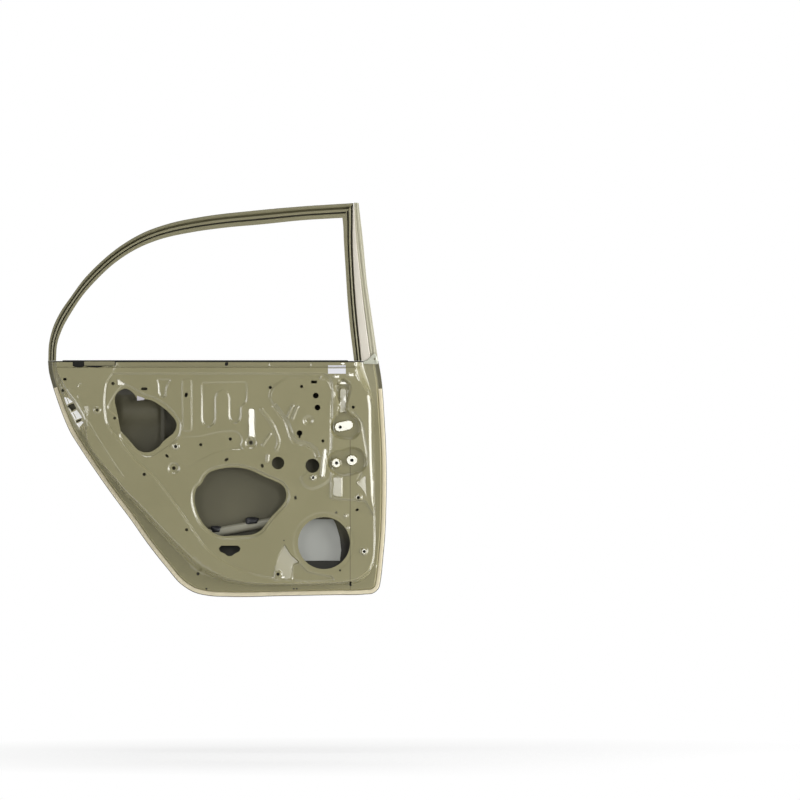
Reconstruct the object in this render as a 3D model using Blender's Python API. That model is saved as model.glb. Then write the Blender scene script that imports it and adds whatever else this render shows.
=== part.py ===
"""Rear side door shell of a car, seen from the cabin side.

A stamped inner panel is hemmed into an outer skin. A roll-formed window frame stands on it, and the
shell holds belt rails, a side-impact tube and the plates that carry hinges, check strap and handle.
Metres, +Z up, +X towards the front of the car, +Y out of the car. The origin is the middle of the
upper hinge seat. Everything is laid out in shares of the door's width and height and then placed.
"""

import math

import bmesh
import bpy
import numpy as np
from mathutils import Matrix, Vector
from mathutils.geometry import delaunay_2d_cdt

# Overall sizes
DOOR_WIDTH = 0.965
DOOR_HEIGHT = 1.120
INNER_DEPTH = 0.070
BELT_LEAN = 0.0227
FOOT_LEAN = 0.0276

# Sheets, gaps and the hem
SKIN_SHEET = 0.0008
INNER_SHEET = 0.0010
PLATE_SHEET = 0.0016
FRAME_SHEET = 0.0012
SEAT_GAP = 0.0003
HEM_EDGE = 0.0022
HEM_RETURN = 0.0090
HEM_BULGE = 0.0006
FLANGE_WIDTH = 0.0130
STEP_RUN = 0.0040
STEP_RISE = 0.0060
SEALER_EDGE = 0.0015
SEALER_WIDTH = 0.0125
SEALER_RISE = 0.0009

# The skin bulges most at this share of the height
BULGE_SHARE = 0.375

# Stamping
BELT_SHARE = 0.600
SEAT_SHARE = 0.962
SEAT_DRAFT = 0.0008
SEAT_SHARES = (0.236, 0.484)
RIB_RISE = 0.0040
RIB_RAMP = 0.0030
FIELD_RISE = 0.0050
FIELD_RAMP = 0.0070
POCKET_DEPTH = 0.0140
POCKET_RAMP = 0.0080
PAD_RISE = 0.0090
PAD_RAMP = 0.0040
RIM_WIDTH = 0.0080
RIM_DROP = 0.0040
BELT_DROP = 0.0120
LATCH_DROP = 0.0060
TRIANGLE_DROP = 0.0100
SPEAKER_RADIUS = 0.0740
SPEAKER_RING = 0.0880
SPEAKER_SHARES = (0.8155, 0.137)

# Side-impact tube
TUBE_RADIUS = 0.0130
TUBE_WALL = 0.0022
TUBE_REAR_SHARES = (0.430, 0.1535)
TUBE_FRONT_SHARES = (0.938, 0.2340)
TUBE_DEPTH = 0.0192
COLLAR_LENGTH = 0.0420
COLLAR_WALL = 0.0018
WEB_HEIGHT = 0.0240

# Plates, channels, nuts
HINGE_PLATE = 0.0025
NUT_PLATE = 0.0050
BOLT_HOLE = 0.0045
BOLT_PITCH = 0.0440
CHECK_SLOT_WIDTH = 0.0120
CHECK_SLOT_HEIGHT = 0.0260
WALL_MARGIN = 0.0100
RAIL_DEPTH = 0.0110
OUTER_RAIL_DEPTH = 0.0080
RAIL_LIP = 0.0030
GLASS_DEPTH = 0.0185
CHANNEL_LIP = 0.0100
SASH_DEPTH = 0.0030
PILLAR_DEPTH = 0.0160
STRIP_DEPTH = 0.0100
GUSSET_SHEET = 0.0016
NUT_WIDTH = 0.0130
NUT_HEIGHT = 0.0060
NUT_BORE = 0.0040
PAD_SIZE = (0.0190, 0.0120)
PAD_OFFSET = 0.0080
DAMPING_SHEET = 0.0020
BOWL_DEPTH = 0.0180
BOWL_RAMP = 0.0240
TAB_WIDTH = 0.0170
TAB_REACH = 0.0300

# Mesh fineness
CURVE_STEP = 0.0240
SKIN_ROW = 0.0560
LOFT_STEP = 0.0360
PAD_SIDES = 14
OVERRUN = 0.0050
MERGE = 0.000004

# Edge of the skin below the belt, from the rear of the belt round to the front
HEM_SHARES = (
    (0.000, 0.600), (0.003, 0.572), (0.012, 0.541), (0.027, 0.5006), (0.044, 0.460), (0.065, 0.419),
    (0.0945, 0.378), (0.142, 0.317), (0.192, 0.256), (0.245, 0.195), (0.295, 0.134), (0.3515, 0.0726),
    (0.393, 0.032), (0.431, 0.0115), (0.475, 0.0025), (0.530, 0.000), (0.700, 0.002), (0.850, 0.0045),
    (0.930, 0.006), (0.955, 0.0105), (0.971, 0.0235), (0.980, 0.042), (0.985, 0.060), (0.990, 0.100),
    (0.9955, 0.154), (0.9985, 0.215), (1.000, 0.300), (0.9985, 0.378), (0.9955, 0.430),
    (0.9926, 0.470), (0.9897, 0.510), (0.986, 0.545), (0.981, 0.575), (0.9755, 0.600),
)

# Edge of the panel's main plane with the share of the rim that its wall takes up there
MAIN_SHARES = (
    (0.026, 0.600, 0.60), (0.029, 0.575, 0.60), (0.039, 0.556, 0.70), (0.057, 0.530, 0.80),
    (0.078, 0.506, 0.86), (0.095, 0.484, 0.88), (0.113, 0.456, 0.86), (0.117, 0.430, 0.70),
    (0.118, 0.402, 0.50), (0.132, 0.375, 0.50), (0.167, 0.336, 0.50), (0.202, 0.302, 0.50),
    (0.238, 0.266, 0.48), (0.270, 0.240, 0.45), (0.310, 0.203, 0.42), (0.355, 0.163, 0.38),
    (0.400, 0.125, 0.36), (0.450, 0.086, 0.36), (0.500, 0.061, 0.36), (0.550, 0.045, 0.40),
    (0.600, 0.038, 0.42), (0.700, 0.035, 0.45), (0.800, 0.036, 0.45), (0.870, 0.040, 0.45),
    (0.915, 0.049, 0.45), (0.943, 0.067, 0.45), (0.956, 0.092, 0.50), (0.962, 0.130, 0.50),
    (0.963, 0.180, 0.40), (0.962, 0.222, 0.30),
)
SHOULDER_SHARES = (
    (0.962, 0.496, 0.30), (0.952, 0.508, 0.40), (0.935, 0.528, 0.50), (0.920, 0.553, 0.50),
    (0.910, 0.580, 0.45), (0.908, 0.600, 0.45),
)

REAR_OPENING_SHARES = (
    (0.199, 0.508), (0.212, 0.524), (0.232, 0.5295), (0.250, 0.5195), (0.268, 0.507), (0.296, 0.502),
    (0.335, 0.485), (0.365, 0.462), (0.381, 0.439), (0.372, 0.417), (0.340, 0.394), (0.320, 0.376),
    (0.295, 0.368), (0.268, 0.373), (0.242, 0.397), (0.2165, 0.420), (0.2085, 0.455),
)
CENTRE_OPENING_SHARES = (
    (0.4385, 0.274), (0.452, 0.286), (0.462, 0.303), (0.486, 0.3205), (0.530, 0.3285),
    (0.585, 0.3255), (0.630, 0.310), (0.688, 0.287), (0.7045, 0.262), (0.695, 0.236),
    (0.660, 0.203), (0.638, 0.178), (0.612, 0.161), (0.560, 0.1555), (0.507, 0.157),
    (0.475, 0.172), (0.447, 0.205), (0.4345, 0.247),
)
DRAIN_SHARES = (
    (0.513, 0.1305), (0.561, 0.1305), (0.569, 0.124), (0.562, 0.114), (0.545, 0.106), (0.537, 0.1035),
    (0.529, 0.106), (0.512, 0.115), (0.505, 0.124),
)
LATCH_OPENING_SHARES = ((0.056, 0.486), (0.076, 0.493), (0.085, 0.479), (0.070, 0.472))
LATCH_SLOT_SHARES = ((0.082, 0.4425), (0.0985, 0.4485), (0.0995, 0.4535), (0.0825, 0.4475))
BELT_NOTCH_SHARES = ((0.074, 0.586), (0.200, 0.588), (0.203, 0.606), (0.074, 0.606))
BELT_SLOT_SHARES = ((0.521, 0.587), (0.531, 0.587), (0.532, 0.606), (0.520, 0.606))
WINDOW_SLOT_SHARES = ((0.778, 0.5428), (0.795, 0.5428), (0.795, 0.5502), (0.778, 0.5502))

# Round holes: place and radius
HOLE_RADIUS = 0.0046
LARGE_HOLE_RADIUS = 0.0200
MIDDLE_HOLE_RADIUS = 0.0178
TWIN_HOLE_RADIUS = 0.0080
HOLE_SHARES = (
    (0.051, 0.5535), (0.0435, 0.525), (0.193, 0.5425), (0.286, 0.529), (0.198, 0.4545),
    (0.2855, 0.3115), (0.3725, 0.3275), (0.378, 0.3825), (0.452, 0.387), (0.539, 0.4015),
    (0.600, 0.392), (0.4095, 0.513), (0.528, 0.349), (0.6335, 0.3335), (0.8125, 0.3965),
    (0.657, 0.5325), (0.7495, 0.535), (0.8635, 0.4315), (0.853, 0.3405), (0.898, 0.3475),
    (0.7835, 0.3035), (0.917, 0.2525), (0.9135, 0.2215), (0.8515, 0.2145), (0.9345, 0.1155),
    (0.680, 0.058), (0.443, 0.058), (0.4105, 0.1708), (0.7315, 0.252), (0.1465, 0.475),
)
MIDDLE_HOLE_SHARES = (0.680, 0.3405)
LARGE_HOLE_SHARES = (0.7815, 0.3335)
TWIN_HOLE_SHARES = ((0.7915, 0.512), (0.7965, 0.4815))
KEYHOLE_SHARES = (0.7435, 0.4155)

# Nuts sit behind these trim and regulator holes
NUT_SHARES = (
    (0.452, 0.387), (0.539, 0.4015), (0.657, 0.5325), (0.2855, 0.3115), (0.600, 0.392), (0.7315, 0.252),
)

# Raised ribs: both ends and the width across
RIB_SHARES = (
    ((0.4115, 0.537), (0.4115, 0.431), 0.030), ((0.4565, 0.539), (0.4580, 0.442), 0.011),
    ((0.4960, 0.520), (0.4960, 0.440), 0.014), ((0.5365, 0.516), (0.5370, 0.448), 0.012),
    ((0.5715, 0.484), (0.5700, 0.442), 0.013), ((0.6010, 0.474), (0.6020, 0.414), 0.019),
    ((0.8125, 0.372), (0.8105, 0.310), 0.016),
)

# Larger stamped forms
OUTER_BAND_SHARES = (
    (0.020, 0.553), (0.165, 0.553), (0.174, 0.540), (0.169, 0.500), (0.170, 0.460), (0.183, 0.428),
    (0.215, 0.397), (0.262, 0.345), (0.305, 0.314), (0.345, 0.272), (0.400, 0.208), (0.440, 0.157),
    (0.465, 0.127), (0.505, 0.100), (0.530, 0.075), (0.540, 0.020), (0.350, 0.020), (0.150, 0.250),
    (0.020, 0.450),
)
RIDGE_SHARES = (
    (0.664, 0.492), (0.690, 0.466), (0.706, 0.440), (0.722, 0.408), (0.745, 0.394), (0.775, 0.388),
    (0.797, 0.368), (0.806, 0.340), (0.812, 0.290), (0.828, 0.290), (0.829, 0.400), (0.829, 0.520),
    (0.815, 0.550), (0.780, 0.556), (0.700, 0.553), (0.668, 0.535), (0.656, 0.510),
)
PILLAR_FIELD_SHARES = (
    (0.844, 0.568), (0.844, 0.475), (0.838, 0.400), (0.835, 0.250), (0.905, 0.240), (0.940, 0.205),
    (0.990, 0.200), (0.990, 0.568),
)
BELT_FIELD_SHARES = ((0.000, 0.569), (1.000, 0.569), (1.000, 0.650), (0.000, 0.650))
BELT_FLANGE_SHARES = ((0.000, 0.584), (1.000, 0.584), (1.000, 0.650), (0.000, 0.650))
HINGE_POCKET_SHARES = (
    (0.857, 0.545), (0.857, 0.468), (0.845, 0.455), (0.838, 0.430), (0.847, 0.411), (0.870, 0.404),
    (0.905, 0.405), (0.920, 0.420), (0.919, 0.444), (0.905, 0.457), (0.889, 0.466), (0.887, 0.545),
    (0.872, 0.553),
)
LOWER_POCKET_SHARES = (
    (0.829, 0.352), (0.838, 0.364), (0.870, 0.373), (0.903, 0.379), (0.926, 0.370), (0.938, 0.348),
    (0.935, 0.328), (0.905, 0.314), (0.850, 0.313), (0.832, 0.327),
)
PAD_SHARES = (((0.8610, 0.4320), (0.8880, 0.4370), 0.026), ((0.8520, 0.3405), (0.8535, 0.3405), 0.026),
              ((0.8970, 0.3475), (0.8990, 0.3475), 0.028))
ARM_BAND_SHARES = (
    (0.390, 0.401), (0.470, 0.409), (0.545, 0.419), (0.568, 0.412), (0.573, 0.397), (0.560, 0.381),
    (0.500, 0.366), (0.455, 0.352), (0.415, 0.345), (0.385, 0.360),
)
TRIANGLE_SHARES = ((0.699, 0.133), (0.684, 0.112), (0.673, 0.080), (0.667, 0.055), (0.690, 0.048),
                   (0.721, 0.050), (0.724, 0.088))
LATCH_POCKET_SHARES = ((0.046, 0.508), (0.064, 0.505), (0.080, 0.488), (0.098, 0.462), (0.105, 0.449),
                       (0.099, 0.434), (0.088, 0.431), (0.072, 0.450), (0.057, 0.478))
FRONT_STEP_SHARES = ((0.845, 0.255), (0.845, 0.300), (0.866, 0.306), (0.900, 0.308), (0.903, 0.252),
                     (0.868, 0.250))

# Window frame edges
SASH_OUTER_SHARES = (
    (0.0005, 0.6005), (0.003, 0.643), (0.0148, 0.684), (0.038, 0.725), (0.071, 0.7656), (0.106, 0.806),
    (0.151, 0.847), (0.207, 0.888), (0.2866, 0.9287), (0.3516, 0.949), (0.464, 0.9694), (0.600, 0.983),
    (0.750, 0.993), (0.9035, 1.000),
)
SASH_INNER_SHARES = (
    (0.0235, 0.6005), (0.0275, 0.643), (0.044, 0.684), (0.071, 0.725), (0.103, 0.7656), (0.145, 0.806),
    (0.195, 0.847), (0.269, 0.888), (0.325, 0.908), (0.428, 0.9287), (0.520, 0.940), (0.635, 0.949),
    (0.750, 0.958), (0.8640, 0.9635),
)
FRONT_LEFT_SHARES = (
    (0.8652, 0.9622), (0.8712, 0.949), (0.8744, 0.908), (0.880, 0.827), (0.886, 0.745), (0.895, 0.6637),
    (0.901, 0.623), (0.904, 0.6005),
)
FRONT_RIGHT_SHARES = (
    (0.9046, 0.9988), (0.9030, 0.965), (0.9010, 0.908), (0.9045, 0.827), (0.9105, 0.745),
    (0.9195, 0.6637), (0.924, 0.623), (0.9265, 0.6005),
)
PILLAR_EDGE_SHARES = ((0.910, 0.935), (0.914, 0.900), (0.928, 0.800), (0.943, 0.700), (0.959, 0.6005))
PILLAR_LEFT_SHARES = ((0.9035, 0.935), (0.9028, 0.900), (0.9075, 0.800), (0.9165, 0.700), (0.9280, 0.6005))
STRIP_LEFT_SHARES = ((0.9046, 1.000), (0.9046, 0.963), (0.9100, 0.905), (0.9250, 0.800),
                     (0.9400, 0.700), (0.9545, 0.6005))
STRIP_RIGHT_SHARES = ((0.9185, 1.000), (0.9225, 0.9694), (0.9306, 0.908), (0.9425, 0.800),
                      (0.9580, 0.7045), (0.9755, 0.6005))

# Sections of the frame: share across and height off the skin
SASH_LIP = 0.0200
SASH_GROOVE = 0.0080
SASH_STEP = 0.0140
SASH_CREST = 0.0260
SASH_WAIST = 0.0170

GUSSET_SHARES = ((0.9365, 0.6015), (0.9565, 0.6175), (0.9700, 0.6190), (0.9745, 0.6000), (0.9760, 0.5750),
                 (0.9700, 0.5665), (0.9480, 0.5660), (0.9390, 0.5740))
GUSSET_HOLE_SHARES = ((0.9625, 0.6055), (0.9645, 0.5800))
HANDLE_PLATE_SHARES = ((0.195, 0.520), (0.212, 0.553), (0.318, 0.553), (0.330, 0.532), (0.322, 0.517),
                       (0.214, 0.514))
HANDLE_HOLE_SHARES = ((0.222, 0.534), (0.305, 0.533))
TAB_SHARES = (0.274, 0.5165)
BOWL_SHARES = ((0.226, 0.472), (0.302, 0.472), 0.046)
DAMPING_SHARES = ((0.715, 0.0915), (0.8625, 0.0915), (0.866, 0.118), (0.862, 0.150), (0.851, 0.183),
                  (0.842, 0.197), (0.715, 0.197))
LATCH_PLATE_SHARES = ((0.053, 0.498), (0.070, 0.503), (0.084, 0.486), (0.099, 0.461), (0.103, 0.448),
                      (0.097, 0.436), (0.088, 0.435), (0.075, 0.452), (0.061, 0.477))
RAIL_SHARES = (0.044, 0.886)
OUTER_RAIL_SHARES = (0.044, 0.900)
FRONT_CHANNEL_SHARES = ((0.8830, 0.5975), (0.8835, 0.500), (0.8790, 0.290))
REAR_CHANNEL_SHARES = ((0.3270, 0.5975), (0.3330, 0.480), (0.3310, 0.290))
MASTIC_SHARES = (0.13, 0.335, 0.60, 0.82)


def skin_y(height):
    """World y of the outer skin at a height above the bottom edge."""
    share = height / DOOR_HEIGHT - BULGE_SHARE
    above = share / (BELT_SHARE - BULGE_SHARE)
    below = share / BULGE_SHARE
    return np.where(share > 0, -BELT_LEAN * above * above, -FOOT_LEAN * below * below)


def placed(shares):
    """Points in metres from points in shares of the width and the height."""
    return np.array([(row[0] * DOOR_WIDTH, row[1] * DOOR_HEIGHT) for row in shares])


def smooth(points, step=CURVE_STEP, closed=False):
    """Points about a step apart on a smooth curve through the given points."""
    points = np.asarray(points, float)
    count = len(points)

    def knot(place):
        return points[place % count] if closed else points[min(max(place, 0), count - 1)]

    curve = []
    for place in range(count if closed else count - 1):
        before, start, end, after = (knot(place + shift) for shift in (-1, 0, 1, 2))
        span = math.dist(start, end)
        back, ahead = math.dist(before, start), math.dist(end, after)
        leave = end - start
        arrive = end - start
        if back:
            leave = span * ((start - before) / back - (end - before) / (back + span) + leave / span)
        if ahead:
            arrive = span * (arrive / span - (after - start) / (span + ahead) + (after - end) / ahead)
        pieces = max(1, round(span / step))
        for piece in range(pieces):
            t = piece / pieces
            curve.append(
                (2 * t ** 3 - 3 * t ** 2 + 1) * start + (t ** 3 - 2 * t ** 2 + t) * leave
                + (3 * t ** 2 - 2 * t ** 3) * end + (t ** 3 - t ** 2) * arrive
            )
    if not closed:
        curve.append(points[-1])
    return np.array(curve)


def disc(centre, radius, sides):
    """A round outline."""
    turns = np.arange(sides) * (math.tau / sides) + math.pi / sides
    return np.column_stack((centre[0] + radius * np.cos(turns), centre[1] + radius * np.sin(turns)))


def pill(start, end, width, sides=4):
    """A slot outline with round ends."""
    start, end = np.asarray(start, float), np.asarray(end, float)
    heading = math.atan2(*(end - start)[::-1])
    outline = []
    for centre, turn in ((end, heading), (start, heading + math.pi)):
        for side in range(sides + 1):
            angle = turn + math.pi * (side / sides - 0.5)
            outline.append(centre + width / 2 * np.array((math.cos(angle), math.sin(angle))))
    return np.array(outline)


def pushed(loop, distance, closed=True):
    """The loop moved sideways: outwards if it runs anticlockwise, or to the right of its run."""
    if closed:
        ahead, behind = np.roll(loop, -1, 0), np.roll(loop, 1, 0)
    else:
        ahead, behind = np.vstack((loop[1:], loop[-1:])), np.vstack((loop[:1], loop[:-1]))
    run = ahead - behind
    run /= np.linalg.norm(run, axis=1)[:, None]
    return loop + distance * np.column_stack((run[:, 1], -run[:, 0]))


def anticlockwise(loop):
    """The same loop, turned round if it ran clockwise."""
    ahead = np.roll(loop, -1, 0)
    area = (loop[:, 0] * ahead[:, 1] - ahead[:, 0] * loop[:, 1]).sum()
    return loop if area > 0 else loop[::-1]


def inside(points, loop):
    """True for each point that lies inside the closed loop."""
    crossings = np.zeros(len(points), bool)
    for start, end in zip(loop, np.roll(loop, -1, 0)):
        spans = (start[1] > points[:, 1]) != (end[1] > points[:, 1])
        if start[1] != end[1]:
            at = start[0] + (points[:, 1] - start[1]) * (end[0] - start[0]) / (end[1] - start[1])
            crossings ^= spans & (points[:, 0] < at)
    return crossings


def reach(points, line, closed=False):
    """Distance from each point to the nearest stretch of the line, and the nearest point on it."""
    best = np.full(len(points), np.inf)
    nearest = np.zeros_like(points)
    ends = np.roll(line, -1, 0) if closed else line[1:]
    for start, end in zip(line, ends):
        run = end - start
        share = np.clip((points - start) @ run / (run @ run), 0, 1)
        foot = start + share[:, None] * run
        distance = np.linalg.norm(points - foot, axis=1)
        closer = distance < best
        best[closer] = distance[closer]
        nearest[closer] = foot[closer]
    return best, nearest


class PanelForm:
    """Lays out the inner panel: its rim lines, its stamped forms and its openings."""

    def __init__(self):
        self.hem = smooth(placed(HEM_SHARES))
        self.belt = BELT_SHARE * DOOR_HEIGHT
        self.step_foot = pushed(self.hem, -FLANGE_WIDTH, closed=False)
        self.step_top = pushed(self.hem, -FLANGE_WIDTH - STEP_RUN, closed=False)
        for line in (self.step_foot, self.step_top):
            line[[0, -1], 1] = self.belt
        self.seat_x = SEAT_SHARE * DOOR_WIDTH
        seat = [(SEAT_SHARE, share) for share in SEAT_SHARES]
        lower, upper = placed(MAIN_SHARES), placed(SHOULDER_SHARES)
        shares = [row[2] for row in MAIN_SHARES]
        self.main = np.vstack((smooth(lower), placed(seat), smooth(upper)))
        lower_shares = self.spread(smooth(lower), lower, shares)
        upper_shares = self.spread(smooth(upper), upper, [row[2] for row in SHOULDER_SHARES])
        seat_shares = [0, 0]
        wall_shares = np.concatenate((lower_shares, seat_shares, upper_shares))
        _, rim = reach(self.main, self.step_top)
        self.foot = self.main + wall_shares[:, None] * (rim - self.main)
        self.foot[[0, -1], 1] = self.belt
        on_seat = wall_shares == 0
        self.main[on_seat, 0] -= SEAT_DRAFT / 2
        self.foot[on_seat] = self.main[on_seat] + (SEAT_DRAFT, 0)
        self.forms = self.stamped_forms()

    @staticmethod
    def spread(curve, knots, shares):
        """Shares given at knots, spread over the curve that runs through them."""
        along = np.concatenate(([0], np.cumsum(np.linalg.norm(np.diff(curve, axis=0), axis=1))))
        at = [along[np.argmin(np.linalg.norm(curve - knot, axis=1))] for knot in knots]
        return np.interp(along, at, shares)

    def closed(self, line):
        """A rim line closed along the top of the belt."""
        over = OVERRUN * np.array((0, 1))
        return np.vstack((line, line[-1:] + over, line[:1] + over))

    def stamped_forms(self):
        """Each form as its outline, its rise towards the cabin, its ramp and whether the wall has it."""
        rear, centre = (smooth(placed(shares), closed=True) for shares in
                        (REAR_OPENING_SHARES, CENTRE_OPENING_SHARES))
        speaker = placed([SPEAKER_SHARES])[0]
        forms = [
            (smooth(placed(OUTER_BAND_SHARES), closed=True), FIELD_RISE, FIELD_RAMP, False),
            (smooth(placed(RIDGE_SHARES), closed=True), FIELD_RISE, FIELD_RAMP, False),
            (placed(PILLAR_FIELD_SHARES), FIELD_RISE, FIELD_RAMP, False),
            (placed(BELT_FIELD_SHARES), RIB_RISE, RIB_RAMP, False),
            (placed(BELT_FLANGE_SHARES), -BELT_DROP, RIB_RAMP, False),
            (smooth(placed(HINGE_POCKET_SHARES), closed=True), -POCKET_DEPTH, POCKET_RAMP, False),
            (smooth(placed(LOWER_POCKET_SHARES), closed=True), -POCKET_DEPTH, POCKET_RAMP, False),
            (smooth(placed(ARM_BAND_SHARES), closed=True), -RIB_RISE, FIELD_RAMP, False),
            (placed(TRIANGLE_SHARES), -TRIANGLE_DROP, POCKET_RAMP, False),
            (smooth(placed(LATCH_POCKET_SHARES), closed=True), -LATCH_DROP, PAD_RAMP, True),
            (placed(FRONT_STEP_SHARES), FIELD_RISE, POCKET_RAMP, False),
            (pushed(anticlockwise(rear), RIM_WIDTH), -RIM_DROP, RIB_RAMP, False),
            (pushed(anticlockwise(centre), RIM_WIDTH), -RIM_DROP, RIB_RAMP, False),
            (disc(speaker, SPEAKER_RING, 24), -RIB_RISE, PAD_RAMP, False),
        ]
        for start, end, width in RIB_SHARES:
            loop = pill(*placed((start, end)), width * DOOR_WIDTH)
            forms.append((loop, RIB_RISE, RIB_RAMP, False))
        for start, end, width in PAD_SHARES:
            loop = pill(*placed((start, end)), width * DOOR_WIDTH)
            forms.append((loop, PAD_RISE, PAD_RAMP, False))
        return [(anticlockwise(loop), rise, ramp, wall) for loop, rise, ramp, wall in forms]

    def holes(self):
        """Outlines of all the openings that are cut through the panel."""
        loops = [smooth(placed(shares), closed=True) for shares in
                 (REAR_OPENING_SHARES, CENTRE_OPENING_SHARES)]
        loops += [placed(shares) for shares in
                  (DRAIN_SHARES, LATCH_OPENING_SHARES, LATCH_SLOT_SHARES, BELT_NOTCH_SHARES,
                   BELT_SLOT_SHARES, WINDOW_SLOT_SHARES)]
        loops.append(disc(placed([SPEAKER_SHARES])[0], SPEAKER_RADIUS, 28))
        loops += [disc(centre, HOLE_RADIUS, 7) for centre in placed(HOLE_SHARES)]
        loops.append(disc(placed([MIDDLE_HOLE_SHARES])[0], MIDDLE_HOLE_RADIUS, 16))
        loops.append(disc(placed([LARGE_HOLE_SHARES])[0], LARGE_HOLE_RADIUS, 16))
        loops += [disc(centre, TWIN_HOLE_RADIUS, 10) for centre in placed(TWIN_HOLE_SHARES)]
        loops.append(disc(placed([KEYHOLE_SHARES])[0], TWIN_HOLE_RADIUS, 10))
        return loops

    def flange_y(self, height):
        """World y of the cabin side of the flange inside the hem."""
        return skin_y(height) - SKIN_SHEET - SEAT_GAP - INNER_SHEET

    def wall_share(self, points):
        """0 on the rim ledge, 1 on the main plane, and between them on the wall."""
        to_main, _ = reach(points, self.main)
        to_foot, _ = reach(points, self.foot)
        share = to_foot / np.maximum(to_main + to_foot, MERGE)
        share[~inside(points, self.closed(self.foot))] = 0
        share[inside(points, self.closed(self.main))] = 1
        share[to_main < MERGE] = 1
        return share

    def y(self, points):
        """World y of the cabin side of the panel."""
        from_edge, _ = reach(points, self.hem)
        step = np.clip((from_edge - FLANGE_WIDTH) / STEP_RUN, 0, 1)
        share = self.wall_share(points)
        ledge = self.flange_y(points[:, 1]) - STEP_RISE * step
        level = (1 - share) * ledge - share * INNER_DEPTH
        for loop, rise, ramp, on_wall in self.forms:
            distance, _ = reach(points, loop, closed=True)
            distance[~inside(points, loop)] *= -1
            weight = np.clip(0.5 + distance / ramp, 0, 1)
            level -= rise * weight * (np.clip(3 * share, 0, 1) if on_wall else share)
        return level

    def creases(self):
        """The lines along which the sheet bends."""
        lines = [self.step_foot, self.step_top, self.foot, self.main]
        bound = pushed(self.closed(self.main), POCKET_RAMP)
        for loop, _, ramp, on_wall in self.forms:
            for side in (-ramp / 2, ramp / 2):
                ring = pushed(loop, side)
                ring = np.vstack((ring, ring[:1]))
                kept = inside(ring, bound) | on_wall
                lines += [ring[place:place + 2] for place in range(len(ring) - 1)
                          if kept[place] and kept[place + 1]]
        return lines


def tiled(rim, holes, creases):
    """Flat triangles inside the rim and outside the holes, with edges along every crease."""
    points, edges = [], []
    lines = [(rim, True)] + [(hole, True) for hole in holes] + [(line, False) for line in creases]
    for line, closed in lines:
        first, count = len(points), len(line)
        points += [Vector(point) for point in line]
        spans = count if closed else count - 1
        edges += [(first + place, first + (place + 1) % count) for place in range(spans)]
    flat, _, faces, origins, _, _ = delaunay_2d_cdt(points, edges, [], 0, MERGE)
    flat = np.array([tuple(point) for point in flat])
    middles = np.array([flat[list(face)].mean(axis=0) for face in faces])
    kept = inside(middles, rim)
    for hole in holes:
        kept &= ~inside(middles, hole)
    return flat, [face for face, keep in zip(faces, kept) if keep], origins


def material(name, colour, roughness, metallic=0.0):
    """A plain painted or moulded finish."""
    finish = bpy.data.materials.new(name)
    finish.use_nodes = True
    shader = finish.node_tree.nodes["Principled BSDF"]
    shader.inputs["Base Color"].default_value = (*colour, 1.0)
    shader.inputs["Roughness"].default_value = roughness
    shader.inputs["Metallic"].default_value = metallic
    return finish


def add_mesh(name, vertices, faces, finish, parent, thickness=0.0, smooth_angle=35.0):
    """An object made from points and faces, with a sheet thickness if one is given."""
    mesh = bpy.data.meshes.new(name)
    form = bmesh.new()
    corners = [form.verts.new(vertex) for vertex in vertices]
    for face in faces:
        form.faces.new([corners[place] for place in face]).smooth = True
    bmesh.ops.delete(form, geom=[corner for corner in form.verts if not corner.link_faces], context="VERTS")
    for edge in form.edges:
        edge.smooth = not edge.is_boundary and edge.calc_face_angle() < math.radians(smooth_angle)
    form.to_mesh(mesh)
    form.free()
    mesh.materials.append(finish)
    piece = bpy.data.objects.new(name, mesh)
    bpy.context.scene.collection.objects.link(piece)
    piece.parent = parent
    if thickness:
        sheet = piece.modifiers.new("sheet", "SOLIDIFY")
        sheet.thickness = thickness
        sheet.offset = -1.0
    return piece


def cut(piece, cutter, operation="DIFFERENCE"):
    """A Boolean of the piece with a guide that is left out of the model."""
    cutter.hide_render = True
    cutter.display_type = "WIRE"
    step = piece.modifiers.new("cut", "BOOLEAN")
    step.operation = operation
    step.solver = "EXACT"
    step.object = cutter


def box(name, low, high, finish, parent):
    """A block between two corners."""
    low, high = Vector(low), Vector(high)
    corners = [(x, y, z) for x in (low.x, high.x) for y in (low.y, high.y) for z in (low.z, high.z)]
    sides = ((0, 1, 3, 2), (4, 6, 7, 5), (0, 4, 5, 1), (2, 3, 7, 6), (0, 2, 6, 4), (1, 5, 7, 3))
    return add_mesh(name, corners, sides, finish, parent)


def rod(name, start, end, radius, sides, finish, parent):
    """A round bar between two points."""
    start, end = Vector(start), Vector(end)
    run = end - start
    turn = run.to_track_quat("Z", "Y").to_matrix()
    rings = []
    for foot in (start, end):
        rings += [foot + turn @ Vector((radius * math.cos(a), radius * math.sin(a), 0))
                  for a in (math.tau * side / sides for side in range(sides))]
    faces = [tuple(reversed(range(sides))), tuple(range(sides, 2 * sides))]
    faces += [(side, (side + 1) % sides, sides + (side + 1) % sides, sides + side) for side in range(sides)]
    return add_mesh(name, rings, faces, finish, parent)


def tube(name, start, end, outer, inner, sides, finish, parent):
    """A round tube between two points, open at both ends."""
    start, end = Vector(start), Vector(end)
    turn = (end - start).to_track_quat("Z", "Y").to_matrix()
    rings = []
    for foot, radius in ((start, outer), (end, outer), (end, inner), (start, inner)):
        rings += [foot + turn @ Vector((radius * math.cos(a), radius * math.sin(a), 0))
                  for a in (math.tau * side / sides for side in range(sides))]
    faces = []
    for ring in range(4):
        here, there = ring * sides, (ring + 1) % 4 * sides
        faces += [(here + side, here + (side + 1) % sides, there + (side + 1) % sides, there + side)
                  for side in range(sides)]
    return add_mesh(name, rings, faces, finish, parent)


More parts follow.
